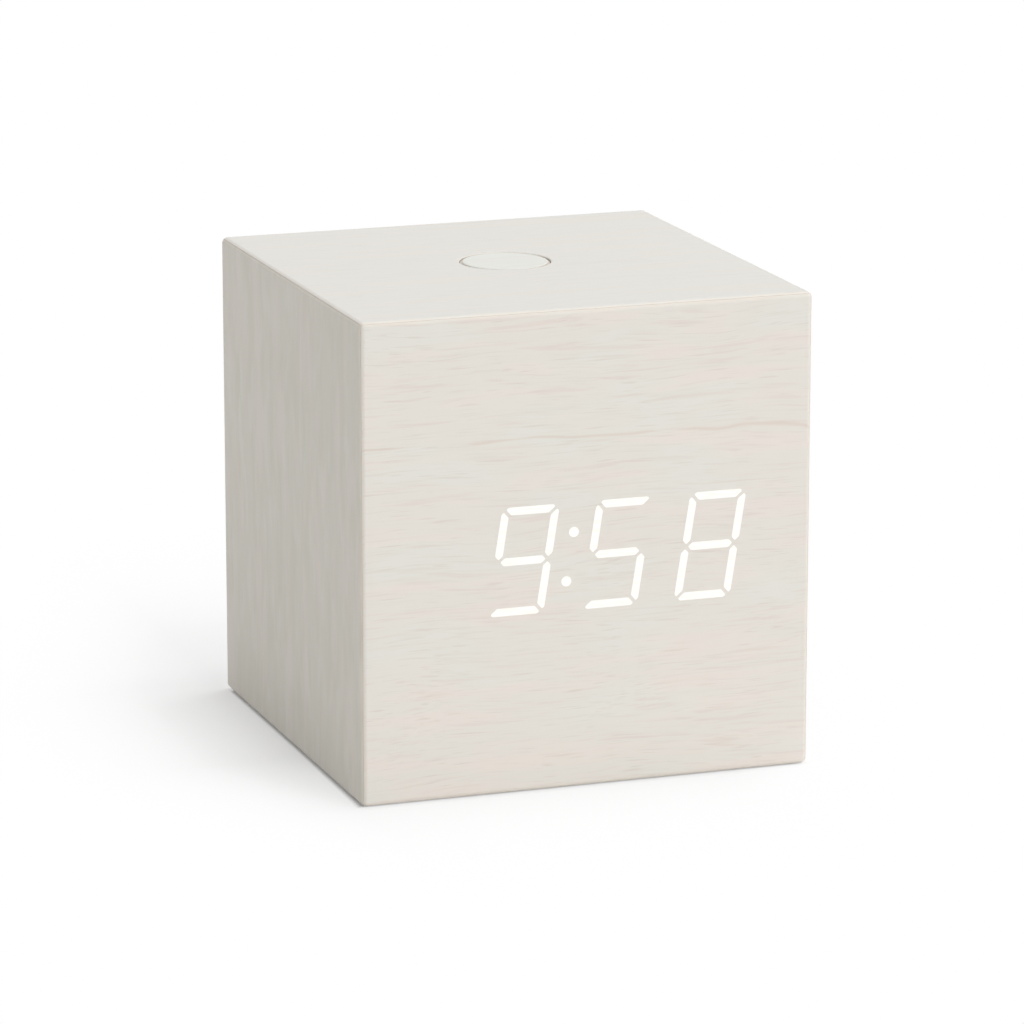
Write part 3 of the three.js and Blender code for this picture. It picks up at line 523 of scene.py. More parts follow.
@dataclass(frozen=True)
class Finish:
    """A real surface: its colour and the layers over it, its gloss and its fine relief.

    The relief is a noise with bumps of grit millimetres, as deep as relief millimetres, and the
    roughness swings by spread with it. The edging shows where the piece's edge attribute is high.
    """

    name: str
    base: str
    layers: tuple[Layer, ...]
    roughness: float
    spread: float = 0.0
    grit: Triple = (0.5, 0.5, 0.5)
    relief: float = 0.0
    metallic: float = 0.0
    ior: float = 1.5
    coat: float = 0.0
    edging: tuple[Layer, ...] = ()

    def place(self, tree: Tree) -> Socket:
        """The coordinates that the patterns are drawn on."""
        return add_node(tree, "ShaderNodeTexCoord", {}, {}).outputs["Object"]

    def shown(self) -> tuple[Layer, ...]:
        """The layers as this surface shows them."""
        return self.layers

    def painted(self, tree: Tree, place: Socket) -> object:
        """The base colour with every layer over it.

        Args:
            tree: the material's node tree.
            place: the coordinates of the patterns.

        Returns:
            The colour's socket, or the colour itself where there are no layers.
        """
        colour: object = linear(self.base)
        for layer in self.shown():
            colour = layer.laid(tree, colour, layer.noise(tree, place))
        return colour

    def colour(self, tree: Tree, place: Socket) -> Socket:
        """The painted colour with its edging."""
        return self.edged(tree, self.painted(tree, place))

    def edged(self, tree: Tree, colour: object) -> Socket:
        """Lays the edging over a colour.

        Args:
            tree: the material's node tree.
            colour: the colour or socket underneath.

        Returns:
            The colour of both.
        """
        for layer in self.edging:
            near = add_node(tree, "ShaderNodeAttribute", {"attribute_name": EDGE}, {})
            colour = layer.laid(tree, colour, near.outputs["Fac"])
        return colour

    def build(self) -> Material:
        """Makes the material.

        Returns:
            The material, with its relief and its uneven gloss where it has them.
        """
        material = bpy.data.materials.new(self.name)
        material.use_nodes = True
        tree = material.node_tree
        shader = tree.nodes["Principled BSDF"]
        even_values = {"Roughness": self.roughness, "Metallic": self.metallic,
                       "Coat Weight": self.coat}
        if not self.metallic:
            even_values["IOR"] = self.ior
        for name, value in even_values.items():
            shader.inputs[name].default_value = value
        place = self.place(tree)
        tree.links.new(self.colour(tree, place), shader.inputs["Base Color"])
        grit = Layer(self.base, self.grit, detail=1.0, shift=GRIT_SHIFT).noise(tree, place)
        if self.spread:
            rough = add_node(tree, "ShaderNodeMapRange", {}, {
                0: grit, 1: NOISE_ENDS[0], 2: NOISE_ENDS[1],
                3: self.roughness - self.spread, 4: self.roughness + self.spread})
            tree.links.new(rough.outputs[0], shader.inputs["Roughness"])
        if self.relief:
            bump = add_node(tree, "ShaderNodeBump", {}, {
                "Height": grit, "Strength": BUMP_STRENGTH, "Distance": self.relief * MM})
            tree.links.new(bump.outputs[0], shader.inputs["Normal"])
        return material


@dataclass(frozen=True)
class WhitewashedVeneer(Finish):
    """Sliced maple veneer under a thin white wash, sanded to a satin.

    The wash leaves an off-white that warms where the wood shows through: soft pinkish and
    greyish bands, short streaks and fibres drawn out along the grain, and here and there a thin
    wavy growth line. Bare wood shows as a greyish tan where the sheet is cut. The figure is how
    strongly all of this shows, and the start is the sheet's place in the leaf.

    The wear and highlight layer is the wood that handling shows along the edges, in a cream that is
    also painted light: lighter than the shaded sides' wash, so that their edges look lit, and a
    little darker than the top's, so that the top's edge looks less lit. The growth layer's low and
    high are distances from a growth line in millimetres, and its noise shows the line only past the
    two values of present. The ripple bends the line, and wander is how far the whole grain strays.
    """

    grain: Grain = Grain.ALONG_X
    start: float = 0.0
    figure: float = 1.0
    # Partly painted highlight: a cream over the rounded edges, lighter than the sides' wash and a
    # little darker than the top's, as well as the wood that handling shows.
    wear_and_highlight: Layer = Layer("#E6DBCE", (7.0, 1.6, 1.6), 0.15, 0.42, 0.5, 2.0, 3.0)
    growth: Layer = Layer("#D6C6B9", (26.0, 12.0, 12.0), 0.6, 0.0, 0.55, 1.0, 7.0)
    growth_start: float = 26.0
    growth_pitch: float = 110.0
    growth_slope: float = 0.02
    present: tuple[float, float] = (0.3, 0.42)
    ripple: Layer = Layer("#D6C6B9", (17.0, 40.0, 40.0), detail=1.0, shift=41.0)
    ripple_height: float = 5.0
    wander: float = 5.0
    wander_size: tuple[float, float] = (44.0, 22.0)

    def turned(self, layer: Layer) -> Layer:
        """A layer drawn for grain along x, turned to this sheet's grain."""
        return replace(layer, size=self.grain.periods(layer.size[0], layer.size[1]),
                       strength=layer.strength * self.figure)

    def shown(self) -> tuple[Layer, ...]:
        """The layers, turned to the grain."""
        return tuple(map(self.turned, self.layers))

    def place(self, tree: Tree) -> Socket:
        """Coordinates that wander from side to side, so that the grain runs in soft waves.

        Args:
            tree: the material's node tree.

        Returns:
            The coordinates: place + wander (noise - 0.5).
        """
        flat = add_node(tree, "ShaderNodeMapping", {}, {
            "Vector": super().place(tree),
            "Location": (self.start, self.start / 2, self.start / 3)})
        drift = add_node(tree, "ShaderNodeMapping", {}, {
            "Vector": flat.outputs[0], "Scale": per_metre(self.grain.periods(*self.wander_size))})
        wave = add_node(tree, "ShaderNodeTexNoise", {},
                        {"Vector": drift.outputs[0], "Scale": 1.0, "Detail": 1.0})
        centred = add_node(tree, "ShaderNodeVectorMath", {"operation": "SUBTRACT"},
                           {0: wave.outputs[1], 1: even(0.5)})
        bent = add_node(tree, "ShaderNodeVectorMath", {"operation": "MULTIPLY_ADD"},
                        {0: centred.outputs[0], 1: even(self.wander * MM), 2: flat.outputs[0]})
        return bent.outputs[0]

    def from_growth(self, tree: Tree, place: Socket) -> Socket:
        """How far each point is from a growth line, in millimetres.

        A growth line runs wherever the distance across the grain, with a ripple added, is a
        whole number of pitches from the first. A noise moves it out of reach where it fades.

        Args:
            tree: the material's node tree.
            place: the coordinates of the patterns.

        Returns:
            The distance's socket.
        """
        across = add_node(tree, "ShaderNodeVectorMath", {"operation": "DOT_PRODUCT"},
                          {0: place, 1: self.grain.periods(self.growth_slope, 1.0)})
        past = add_node(tree, "ShaderNodeMath", {"operation": "MULTIPLY_ADD"}, {
            0: self.turned(self.ripple).noise(tree, place), 1: self.ripple_height * MM,
            2: across.outputs["Value"]})
        past = add_node(tree, "ShaderNodeMath", {"operation": "SUBTRACT"},
                        {0: past.outputs[0], 1: (self.growth_start + self.ripple_height / 2) * MM})
        away = add_node(tree, "ShaderNodeMath", {"operation": "PINGPONG"},
                        {0: past.outputs[0], 1: self.growth_pitch / 2 * MM})
        patchy = add_node(tree, "ShaderNodeMapRange", {"interpolation_type": "SMOOTHSTEP"}, {
            0: self.turned(self.growth).noise(tree, place), 1: self.present[0],
            2: self.present[1], 3: self.growth.low * MM, 4: 0.0})
        moved = add_node(tree, "ShaderNodeMath", {"operation": "ADD"},
                         {0: away.outputs[0], 1: patchy.outputs[0]})
        millimetres = add_node(tree, "ShaderNodeMath", {"operation": "DIVIDE"},
                               {0: moved.outputs[0], 1: MM})
        return millimetres.outputs[0]

    def colour(self, tree: Tree, place: Socket) -> Socket:
        """The washed wood: its layers, then the growth lines, then the edges."""
        painted, away = self.painted(tree, place), self.from_growth(tree, place)
        return self.edged(tree, self.turned(self.growth).laid(tree, painted, away))

    def edged(self, tree: Tree, colour: object) -> Socket:
        """Lets the wood show in patches along an edge, where handling wears it and a painted
        highlight lightens it, and bare at a cut.

        Args:
            tree: the material's node tree.
            colour: the colour underneath.

        Returns:
            The colour with its edges.
        """
        # Wear and painted highlight: this mask lays the cream edge colour in patches along the
        # rounded edges.
        near = add_node(tree, "ShaderNodeAttribute", {"attribute_name": EDGE}, {})
        patches = self.turned(self.wear_and_highlight).noise(tree, super().place(tree))
        wear_and_highlight_mask = add_node(tree, "ShaderNodeMath", {"operation": "MULTIPLY"},
                          {0: near.outputs["Fac"], 1: patches})
        return super().edged(tree, self.wear_and_highlight.laid(tree, colour, wear_and_highlight_mask.outputs[0]))


# The veneer's layers: pinkish and greyish bands, streaks and fibres. Each gives its colour, its
# size along the grain and across it, low, high, strength, detail and shift.
WASH_LAYERS = (
    Layer("#E7DCD4", (40.0, 5.0, 5.0), 0.47, 0.66, 0.55, 2.0, 0.0),
    Layer("#DFDFD7", (34.0, 9.0, 9.0), 0.5, 0.66, 0.6, 2.0, 19.0),
    Layer("#DBCFC7", (24.0, 1.1, 1.1), 0.56, 0.74, 0.5, 2.0, 29.0),
    Layer("#D8D0C8", (12.0, 0.45, 0.45), 0.5, 0.78, 0.5, 2.0, 11.0),
    Layer("#CFC2B8", (8.0, 0.36, 0.36), 0.66, 0.84, 0.35, 0.0, 17.0),
)
# The same for the sheets whose grain stands upright: softer and shorter bands, and a pale one.
UPRIGHT_LAYERS = (
    Layer("#E7DCD4", (30.0, 7.0, 7.0), 0.47, 0.66, 0.5, 2.0, 0.0),
    Layer("#CFCCBF", (24.0, 5.0, 5.0), 0.44, 0.64, 0.4, 2.0, 19.0),
    Layer("#E8E6DE", (15.0, 4.0, 4.0), 0.48, 0.68, 0.38, 2.0, 29.0),
    Layer("#CEC8BC", (8.0, 1.0, 1.0), 0.57, 0.77, 0.38, 3.0, 11.0),
    Layer("#D8D0C8", (7.0, 0.5, 0.5), 0.55, 0.8, 0.3, 2.0, 17.0),
)
# The washes' base colours. The front's is the wash itself. The sides' and the bottom's are darker
# and greyer: painted shade. The top's and the button's are paler and cooler: painted light from
# above.
FRONT_WASH = "#E1DCD4"
SHADED_SIDE_WASH = "#DCD8CE"
LIT_TOP_WASH = "#E1DFD9"
LIT_BUTTON_WASH = "#E3E4DE"
BARE_EDGE = Layer("#D3CBC2", even(1.0), 0.85, 1.0, 0.7)


def washed_veneer(name: str, grain: Grain, start: float, base: str, figure: float) -> Material:
    """The case's veneer, cut from its own stretch of the leaf.

    Args:
        name: what the sheet covers.
        grain: the way its grain runs.
        start: its place in the leaf.
        base: the wash's colour, with painted shade on the sides and bottom and painted light on the
            top and button.
        figure: how strongly the wood shows.

    Returns:
        The material.
    """
    layers = UPRIGHT_LAYERS if grain is Grain.ALONG_Z else WASH_LAYERS
    return WhitewashedVeneer(
        f"whitewashed_maple_{name}", base, layers, roughness=0.58, spread=0.05,
        grit=grain.periods(9.0, 0.4), relief=0.02, edging=(BARE_EDGE,), grain=grain, start=start,
        figure=figure).build()


@dataclass(frozen=True)
class LitVeneer(Finish):
    """The veneer's thinned skin over a bar, with warm white light coming through it."""

    glow: str = "#FEFDFB"
    shade: Layer = Layer("#FBF8F0", (5.0, 0.5, 0.5), 0.4, 0.75)
    strength: float = 0.93

    def build(self) -> Material:
        """Makes the material.

        Returns:
            The material, whose light follows the fibres a little.
        """
        material = super().build()
        tree = material.node_tree
        shader = tree.nodes["Principled BSDF"]
        light = self.shade.laid(tree, linear(self.glow), self.shade.noise(tree, self.place(tree)))
        tree.links.new(light, shader.inputs["Emission Color"])
        shader.inputs["Emission Strength"].default_value = self.strength
        return material


@dataclass(frozen=True)
class SolderMask(Finish):
    """A circuit board: glossy lacquer over copper tracks.

    The tracks show as paler lines between square cells of a real track spacing.
    """

    tracks: Layer = Layer("#1F6E4C", (1.3, 1.3, 1.3), 0.34, 0.4)

    def colour(self, tree: Tree, place: Socket) -> Socket:
        """The lacquer's layers with the tracks over them.

        Args:
            tree: the material's node tree.
            place: the coordinates of the patterns.

        Returns:
            The colour's socket.
        """
        mapping = add_node(tree, "ShaderNodeMapping", {},
                           {"Vector": place, "Scale": per_metre(self.tracks.size)})
        cells = add_node(tree, "ShaderNodeTexVoronoi", {"distance": "CHEBYCHEV"},
                         {"Vector": mapping.outputs[0], "Scale": 1.0})
        return self.tracks.laid(tree, super().colour(tree, place), cells.outputs[0])


class Finishes(Enum):
    """The finishes of the parts that aren't veneer."""

    # Raw medium-density board: pressed tan wood dust with short darker and paler fibres.
    FIBREBOARD = Finish(
        "raw_fibreboard", "#B3946B", (Layer("#8E7048", even(1.4), 0.5, 0.7, 1.0, 4.0),
                                      Layer("#C9AE87", even(0.4), 0.55, 0.7, 0.8)),
        roughness=0.85, spread=0.05, grit=even(0.4), relief=0.05)
    # ABS moulded against a spark-eroded tool: an even dull pebble and a faint cloudiness.
    BLACK_ABS = Finish(
        "moulded_abs_black", "#242528", (Layer("#2C2D31", even(14.0), 0.35, 0.7, 1.0, 3.0),
                                         Layer("#3A3B3E", even(0.45), 0.62, 0.8, 0.35)),
        roughness=0.5, spread=0.07, grit=even(0.35), relief=0.025)
    # ABS from a smoother tool: it takes a soft shine. Raised marks carry a pale pad print.
    GREY_ABS = Finish(
        "moulded_abs_grey", "#85888C", (Layer("#8F9296", even(9.0), 0.35, 0.7, 1.0, 3.0),),
        roughness=0.42, spread=0.05, grit=even(0.35), relief=0.012,
        edging=(Layer("#DADCDD", even(1.0), 0.4, 0.6),))
    # White ABS: bright, faintly cream, with a soft shine.
    WHITE_ABS = Finish(
        "moulded_abs_white", "#E6E5DF", (Layer("#EDECE7", even(9.0), 0.35, 0.7, 1.0, 3.0),),
        roughness=0.4, spread=0.05, grit=even(0.35), relief=0.012)
    # Polished clear acrylic, frosted where the light enters it: it looks milky.
    ACRYLIC = Finish(
        "frosted_acrylic_clear", "#EFEEE8", (Layer("#F6F5F0", even(3.0), 0.4, 0.7),),
        roughness=0.18, spread=0.04, grit=even(0.6), relief=0.01, ior=1.49)
    # Zinc-plated steel: a bluish grey shine with dull handling spots.
    ZINC = Finish(
        "zinc_plated_steel", "#BEC1C4", (Layer("#9FA2A5", even(1.6), 0.52, 0.75, 1.0, 3.0),),
        roughness=0.34, spread=0.08, grit=(3.0, 0.3, 3.0), metallic=1.0)
    # Nickel-plated steel: a warmer, brighter shine with faint rolling streaks.
    NICKEL = Finish(
        "nickel_plated_steel", "#CFCBC3", (Layer("#B3AEA5", (4.0, 0.5, 4.0), 0.5, 0.75, 0.8),),
        roughness=0.22, spread=0.06, grit=(3.0, 0.25, 3.0), metallic=1.0)
    # Nitrile rubber: dull, nearly black, with dust in a fine pebble.
    RUBBER = Finish(
        "nitrile_rubber", "#2A2A2B", (Layer("#3B3A38", even(0.6), 0.5, 0.75, 1.0, 3.0),),
        roughness=0.85, spread=0.04, grit=even(0.4), relief=0.03)
    # A cell's plastic sleeve, shrunk on: glossy, with faint ripples along it and a silver band.
    SLEEVE = Finish(
        "shrink_sleeve_blue", "#2F5D7C", (Layer("#336283", (16.0, 2.4, 2.4), 0.4, 0.7),),
        roughness=0.28, spread=0.03, grit=(9.0, 2.0, 2.0), relief=0.008, coat=0.4,
        edging=(Layer("#C4C8CB", even(1.0), 0.4, 0.6),))
    # The veneer's thinned skin with warm white light coming through it; unlit it looks dull.
    LIT_VENEER = LitVeneer(
        "lit_maple_skin", "#4A4843", (Layer("#55524B", (5.0, 0.5, 0.5), 0.4, 0.75),),
        roughness=0.6)
    # Solder mask: glossy green lacquer, a little darker in patches.
    SOLDER_MASK = SolderMask(
        "solder_mask_green", "#14553A", (Layer("#104A33", even(12.0), 0.4, 0.7),),
        roughness=0.28, spread=0.05, grit=even(0.8), relief=0.02)


# Sub-assemblies

# Rays nearer than this many radians to a corner leave it to the corner's own columns.
CORNER_MARGIN = 1e-6
# The least that a ray's x or y counts as, because the outline divides by it.
LEAST = 1e-9
# How far the front leaf lies behind the lit bars, so that they show in front of it.
LIT_PROUD = 0.02


@dataclass(frozen=True)
class Case(Box):
    """The outer planes of the case, taken from the frame."""

    @classmethod
    def from_frame(cls) -> Case:
        """Reads the outer planes from the six veneers.

        Returns:
            The case.
        """
        low = [Box.of(f"{word}_veneer").low for word in ("left", "front", "bottom")]
        high = [Box.of(f"{word}_veneer").high for word in ("right", "back", "top")]
        return cls(np.diagonal(low), np.diagonal(high))

    def centre(self, side: Side) -> Array:
        """The middle of one side."""
        return self.middle + side.outward * self.size / 2

    def half_size(self, side: Side) -> tuple[float, float]:
        """Half the width and half the height of one side."""
        across, up, _ = np.abs(np.array(side.value, float))
        return float(across @ self.size) / 2, float(up @ self.size) / 2


@dataclass
class Border:
    """The columns of a veneer sheet, one for each ray from a centre to the sheet's edge."""

    angles: Array
    places: Array
    lean: Array

    @classmethod
    def around(cls, half: tuple[float, float], centre: tuple[float, float], angles: Array,
               corner_steps: int) -> Border:
        """Finds where rays meet a rectangle, and adds the columns of its four corner patches.

        A ray from centre c at angle t meets a side where c + k(cos t, sin t) reaches it. A
        column's lean says how its edge turns: (1, 0) over the right side, (1, 1) at a corner.

        Args:
            half: half the width and height of the rectangle.
            centre: where the rays start.
            angles: the rays' angles, in radians.
            corner_steps: how many columns each half of a corner patch has.

        Returns:
            The border, once round.
        """
        middle, size = np.array(centre), np.array(half)
        outward = np.array([(1, 0), (0, 1), (-1, 0), (0, -1)], float)
        following = np.roll(outward, -1, axis=0)
        corners = (outward + following) * size
        turns = np.unwrap(np.arctan2(*(corners - middle).T[::-1]))
        starts = np.concatenate([[turns[-1] - 2 * np.pi], turns[:-1]])
        parts = []
        share = np.linspace(0, 1, corner_steps + 1)
        for side, after, corner, start, end in zip(outward, following, corners, starts, turns):
            wrapped = start + (angles - start) % (2 * np.pi)
            inside = np.sort(wrapped[(wrapped > start + CORNER_MARGIN)
                                     & (wrapped < end - CORNER_MARGIN)])
            rays = directions(inside)
            reach = (size @ np.abs(side) - middle @ side) / (rays @ side)
            parts.append((inside, middle + rays * reach[:, None], np.tile(side, (len(inside), 1))))
            first = side + share[:, None] * after
            second = after + share[-2::-1, None] * side
            lean = np.concatenate([first, second])
            parts.append((np.full(len(lean), end), np.tile(corner, (len(lean), 1)), lean))
        angle, place, lean = (np.concatenate(column) for column in zip(*parts))
        return cls(angle, place, lean)


@dataclass
class VeneerSheet:
    """One side's veneer: flat, rounded over at its four edges and cut on a mitre behind them.

    hold is how far inside each rounding a row of points keeps the flat flat.
    """

    half: tuple[float, float]
    thickness: float = 0.8
    edge_radius: float = 1.3
    mitre_gap: float = 0.03
    hole_rounding: float = 0.2
    hold: float = 0.15
    columns: int = 64
    edge_steps: int = 7
    corner_steps: int = 5
    hole_steps: int = 4
    # How strongly the rim takes the edge's wear and painted highlight, at most.
    peak_wear_and_highlight: float = 0.7

    @property
    def flat_half(self) -> tuple[float, float]:
        """Half the size of the part of the sheet that is flat."""
        return self.half[0] - self.edge_radius, self.half[1] - self.edge_radius

    def rim_wear_and_highlight(self) -> list[float]:
        """How strongly the wear and the painted highlight lie on each row of the rim: most at the
        mitre, where the edge stands out.
        """
        turns = np.linspace(0, math.pi / 4, self.edge_steps + 1)
        return [0.0, *(self.peak_wear_and_highlight * np.sin(2 * turns)), 0.0]

    def rim(self, border: Border) -> list[Array]:
        """The sheet's rounded edge, from its flat out to the mitre and in behind it.

        At a turn u a column that leans by (a, b) lies at place + r n, where n is
        (tan au, tan bu, 1) scaled to length 1 and r is the edge's radius.

        Args:
            border: the sheet's columns.

        Returns:
            The rows.
        """
        radius = self.edge_radius
        last = math.pi / 4 - self.mitre_gap / radius
        inside = np.array(self.flat_half) - self.hold
        rows = [level(np.clip(border.places, -inside, inside), 0.0)]
        for turn in np.linspace(0, last, self.edge_steps + 1):
            slope = np.tan(border.lean * turn)
            normal = np.column_stack([slope, np.ones(len(slope))])
            normal /= np.linalg.norm(normal, axis=1, keepdims=True)
            rows.append(level(border.places, -radius) + radius * normal)
        inner = border.places + (radius - self.thickness - self.mitre_gap) * border.lean
        return rows + [level(inner, -self.thickness)]

    def whole(self) -> Shell:
        """The sheet without a hole: rows spread from its middle and close behind it.

        Returns:
            The closed surface.
        """
        border = Border.around(self.flat_half, (0.0, 0.0), once_round(self.columns),
                               self.corner_steps)
        count = len(border.angles)
        return lofted([pole((0, 0), 0.0, count), *self.rim(border),
                       pole((0, 0), -self.thickness, count)], edge=[0.0, *self.rim_wear_and_highlight(), 0.0])

    def with_hole(self, border: Border, outline: Array, inward: Array) -> Shell:
        """The sheet with a hole whose upper edge is slightly rounded.

        Args:
            border: the sheet's columns.
            outline: where each column meets the hole.
            inward: the hole's normals there, pointing into the wood.

        Returns:
            The closed surface.
        """
        soft = self.hole_rounding
        rows, near = [level(outline, -self.thickness)], [1.0]
        for turn in np.linspace(math.pi / 2, 0, self.hole_steps + 1):
            rows.append(level(outline + inward * soft * (1 - math.sin(turn)),
                              -soft * (1 - math.cos(turn))))
            near.append(math.sin(turn))
        rows.append(level(outline + inward * (soft + self.hold), 0.0))
        near.append(0.0)
        return lofted(rows + self.rim(border), close_rows=True, edge=near + self.rim_wear_and_highlight())


def round_rectangle(angles: Array, half: tuple[float, float], radius: float) -> tuple[Array, Array]:
    """Where rays from the middle meet a rectangle with round corners.

    In the first quarter a ray d meets the right side at k = w / cos t, the top at
    k = h / sin t, or the corner's circle about c at k = d.c + sqrt((d.c)(d.c) - c.c + rr).

    Args:
        angles: the rays' angles, in radians.
        half: half the rectangle's width and height.
        radius: the radius of its corners.

    Returns:
        The points, and the outline's outward normals there.
    """
    rays = directions(angles)
    ray = np.maximum(np.abs(rays), LEAST)
    size, core = np.array(half), np.array(half) - radius
    reach = size / ray
    on_side = reach[:, 0] * ray[:, 1] <= core[1]
    on_top = reach[:, 1] * ray[:, 0] <= core[0]
    along = ray @ core
    round_reach = along + np.sqrt(np.maximum(along ** 2 - core @ core + radius ** 2, 0))
    distance = np.where(on_side, reach[:, 0], np.where(on_top, reach[:, 1], round_reach))
    points = ray * distance[:, None]
    normals = (points - core) / radius
    normals = np.where(on_side[:, None], (1.0, 0.0), np.where(on_top[:, None], (0.0, 1.0), normals))
    signs = np.sign(rays) + (rays == 0)
    return points * signs, normals * signs


@dataclass
class VeneeredCase:
    """The veneers round the case, with the button's bore in the top and the panel's recess.

    starts says where in the leaf each sheet is cut. The next table gives the sides whose base
    colour differs from the front's, with the figure that shows through it: the left and right
    darker, as painted shade, and the top paler, as painted light.
    """

    case: Case
    bore_gap: float = 0.6
    bore_rounding: float = 0.3
    bore_columns: int = 128
    recess_gap: float = 0.3
    recess_corner: float = 3.0
    recess_columns: int = 48
    recess_bends: int = 9
    bottom_start: float = 0.83
    starts: dict[Side, float] = field(default_factory=lambda: {
        Side.FRONT: 0.0, Side.BACK: 0.61, Side.LEFT: 0.23, Side.RIGHT: 0.37, Side.TOP: 0.11})
    washes_and_light: dict[Side, tuple[str, float]] = field(default_factory=lambda: {
        Side.LEFT: (SHADED_SIDE_WASH, 0.7), Side.RIGHT: (SHADED_SIDE_WASH, 0.7), Side.TOP: (LIT_TOP_WASH, 0.4)})

    def finish(self, side: Side) -> Material:
        """The veneer's material on one side.

        Args:
            side: the side.

        Returns:
            The material, with upright grain on the left and right.
        """
        grain = Grain.ALONG_Z if side in (Side.LEFT, Side.RIGHT) else Grain.ALONG_X
        base, figure = self.washes_and_light.get(side, (FRONT_WASH, 1.0))
        return washed_veneer(side.name.lower(), grain, self.starts[side], base, figure)

    def sheet(self, side: Side) -> VeneerSheet:
        """The sheet on one side."""
        return VeneerSheet(self.case.half_size(side))

    def top(self) -> Shell:
        """The top sheet, with a round bore for the button.

        Returns:
            The closed surface.
        """
        button = Box.of("snooze_veneer")
        centre = tuple(button.middle[:2])
        sheet = replace(self.sheet(Side.TOP), hole_rounding=self.bore_rounding)
        border = Border.around(sheet.flat_half, centre, once_round(self.bore_columns),
                               sheet.corner_steps)
        rays = directions(border.angles)
        radius = button.size[0] / 2 + self.bore_gap
        return sheet.with_hole(border, np.array(centre) + rays * radius, rays)

    def back(self) -> Shell:
        """The back sheet, with the recess that the rear panel lies in.

        Returns:
            The closed surface.
        """
        half = tuple(Box.of("rear_panel").size[[0, 2]] / 2 + self.recess_gap)
        sheet = self.sheet(Side.BACK)
        first = math.atan2(half[1] - self.recess_corner, half[0])
        last = math.atan2(half[1], half[0] - self.recess_corner)
        bends = np.linspace(first, last, self.recess_bends)
        angles = np.concatenate([once_round(self.recess_columns),
                                 bends, np.pi - bends, np.pi + bends, -bends])
        border = Border.around(sheet.flat_half, (0.0, 0.0), angles, sheet.corner_steps)
        outline, inward = round_rectangle(border.angles, half, self.recess_corner)
        return sheet.with_hole(border, outline, inward)

    def build(self) -> None:
        """Makes the five sheets that show; the bottom keeps its solid."""
        shells = {side: self.sheet(side).whole() for side in (Side.FRONT, Side.LEFT, Side.RIGHT)}
        shells |= {Side.TOP: self.top(), Side.BACK: self.back()}
        for side, shell in shells.items():
            word, middle = side.name.lower(), self.case.centre(side)
            if side is Side.FRONT:
                middle = middle - side.outward * LIT_PROUD
            piece = make_piece(f"{word}_leaf", [shell.moved(side, middle)])
            dressed(piece, self.finish(side), "case", "veneer", f"{word}_veneer")
        bottom = washed_veneer("bottom", Grain.ALONG_X, self.bottom_start, SHADED_SIDE_WASH, 1.0)
        repaint(bottom, "bottom_veneer")


@dataclass
class LitDisplay:
    """The bars and dots that glow through the front veneer: 9, 5 and 8 with a colon."""

    case: Case
    height: float = 23.2
    width: float = 12.7
    stroke: float = 1.7
    slant: float = math.radians(9)
    gap: float = 0.5
    nip: float = 0.45
    corner: float = 0.3
    corner_steps: int = 5
    depth: float = 0.3
    dot_radius: float = 1.1
    dot_rise: float = 5.25
    dot_steps: int = 40
    lit: dict[str, str] = field(default_factory=lambda: {
        "hours": "abcdfg", "tens": "acdfg", "minutes": "abcdefg"})

    def outline(self, bar: str) -> Array:
        """The corners of one bar, drawn upright about the digit's middle.

        Bars a, b and g are drawn; c to f are a or b turned over.

        Args:
            bar: the bar's letter, from a at the top round to f, and g in the middle.

        Returns:
            The corners.
        """
        x, y = (self.width - self.stroke) / 2, (self.height - self.stroke) / 2
        half, back, nip = self.stroke / 2, self.gap, self.nip
        kind, flip = {
            "a": ("a", (1, 1)), "b": ("b", (1, 1)), "c": ("b", (1, -1)), "d": ("a", (1, -1)),
            "e": ("b", (-1, -1)), "f": ("b", (-1, 1)), "g": ("g", (1, 1))}[bar]
        right = [(x - half - back, y - half), (x + half - back - nip, y + half - nip),
                 (x + half - back - nip - nip, y + half)]
        upright = [(x, back), (x + half, back + half), (x + half, y + half - back - nip - nip),
                   (x + half - nip, y + half - back - nip), (x - half, y - half - back),
                   (x - half, back + half)]
        middle = [(x - back, 0), (x - back - half, half), (half + back - x, half),
                  (back - x, 0), (half + back - x, -half), (x - back - half, -half)]
        shapes = {"a": right + [(-px, py) for px, py in reversed(right)], "b": upright, "g": middle}
        return np.array(shapes[kind], float) * np.array(flip)

    def bar(self, name: str, centre: float) -> Shell:
        """A bar of a digit, leant over: x grows by y times the slant's tangent.

        Args:
            name: the bar's letter.
            centre: the digit's middle.

        Returns:
            The closed surface.
        """
        outline = softened(self.outline(name), self.corner, self.corner_steps)
        leant = outline[:, 0] + outline[:, 1] * math.tan(self.slant) + centre
        return plate(np.column_stack([leant, outline[:, 1]]), -self.depth, 0.0)

    def build(self) -> None:
        """Makes one piece for each digit and one for the colon."""
        material = Finishes.LIT_VENEER.value.build()
        centres = {name: Box.of(f"light_guide_{name}").middle for name in (*self.lit, "colon")}
        middle = self.case.centre(Side.FRONT)
        middle[2] = centres["hours"][2]
        shells = {name: [self.bar(bar, centres[name][0]) for bar in bars]
                  for name, bars in self.lit.items()}
        dot = ring(self.dot_radius, self.dot_steps)
        shells["colon"] = [
            plate(dot + (centres["colon"][0] + rise * math.tan(self.slant), rise), -self.depth, 0.0)
            for rise in (self.dot_rise, -self.dot_rise)]
        for name, plates in shells.items():
            piece = make_piece(f"lit_{name}", [shell.moved(Side.FRONT, middle) for shell in plates])
            dressed(piece, material, "case", "display_light")


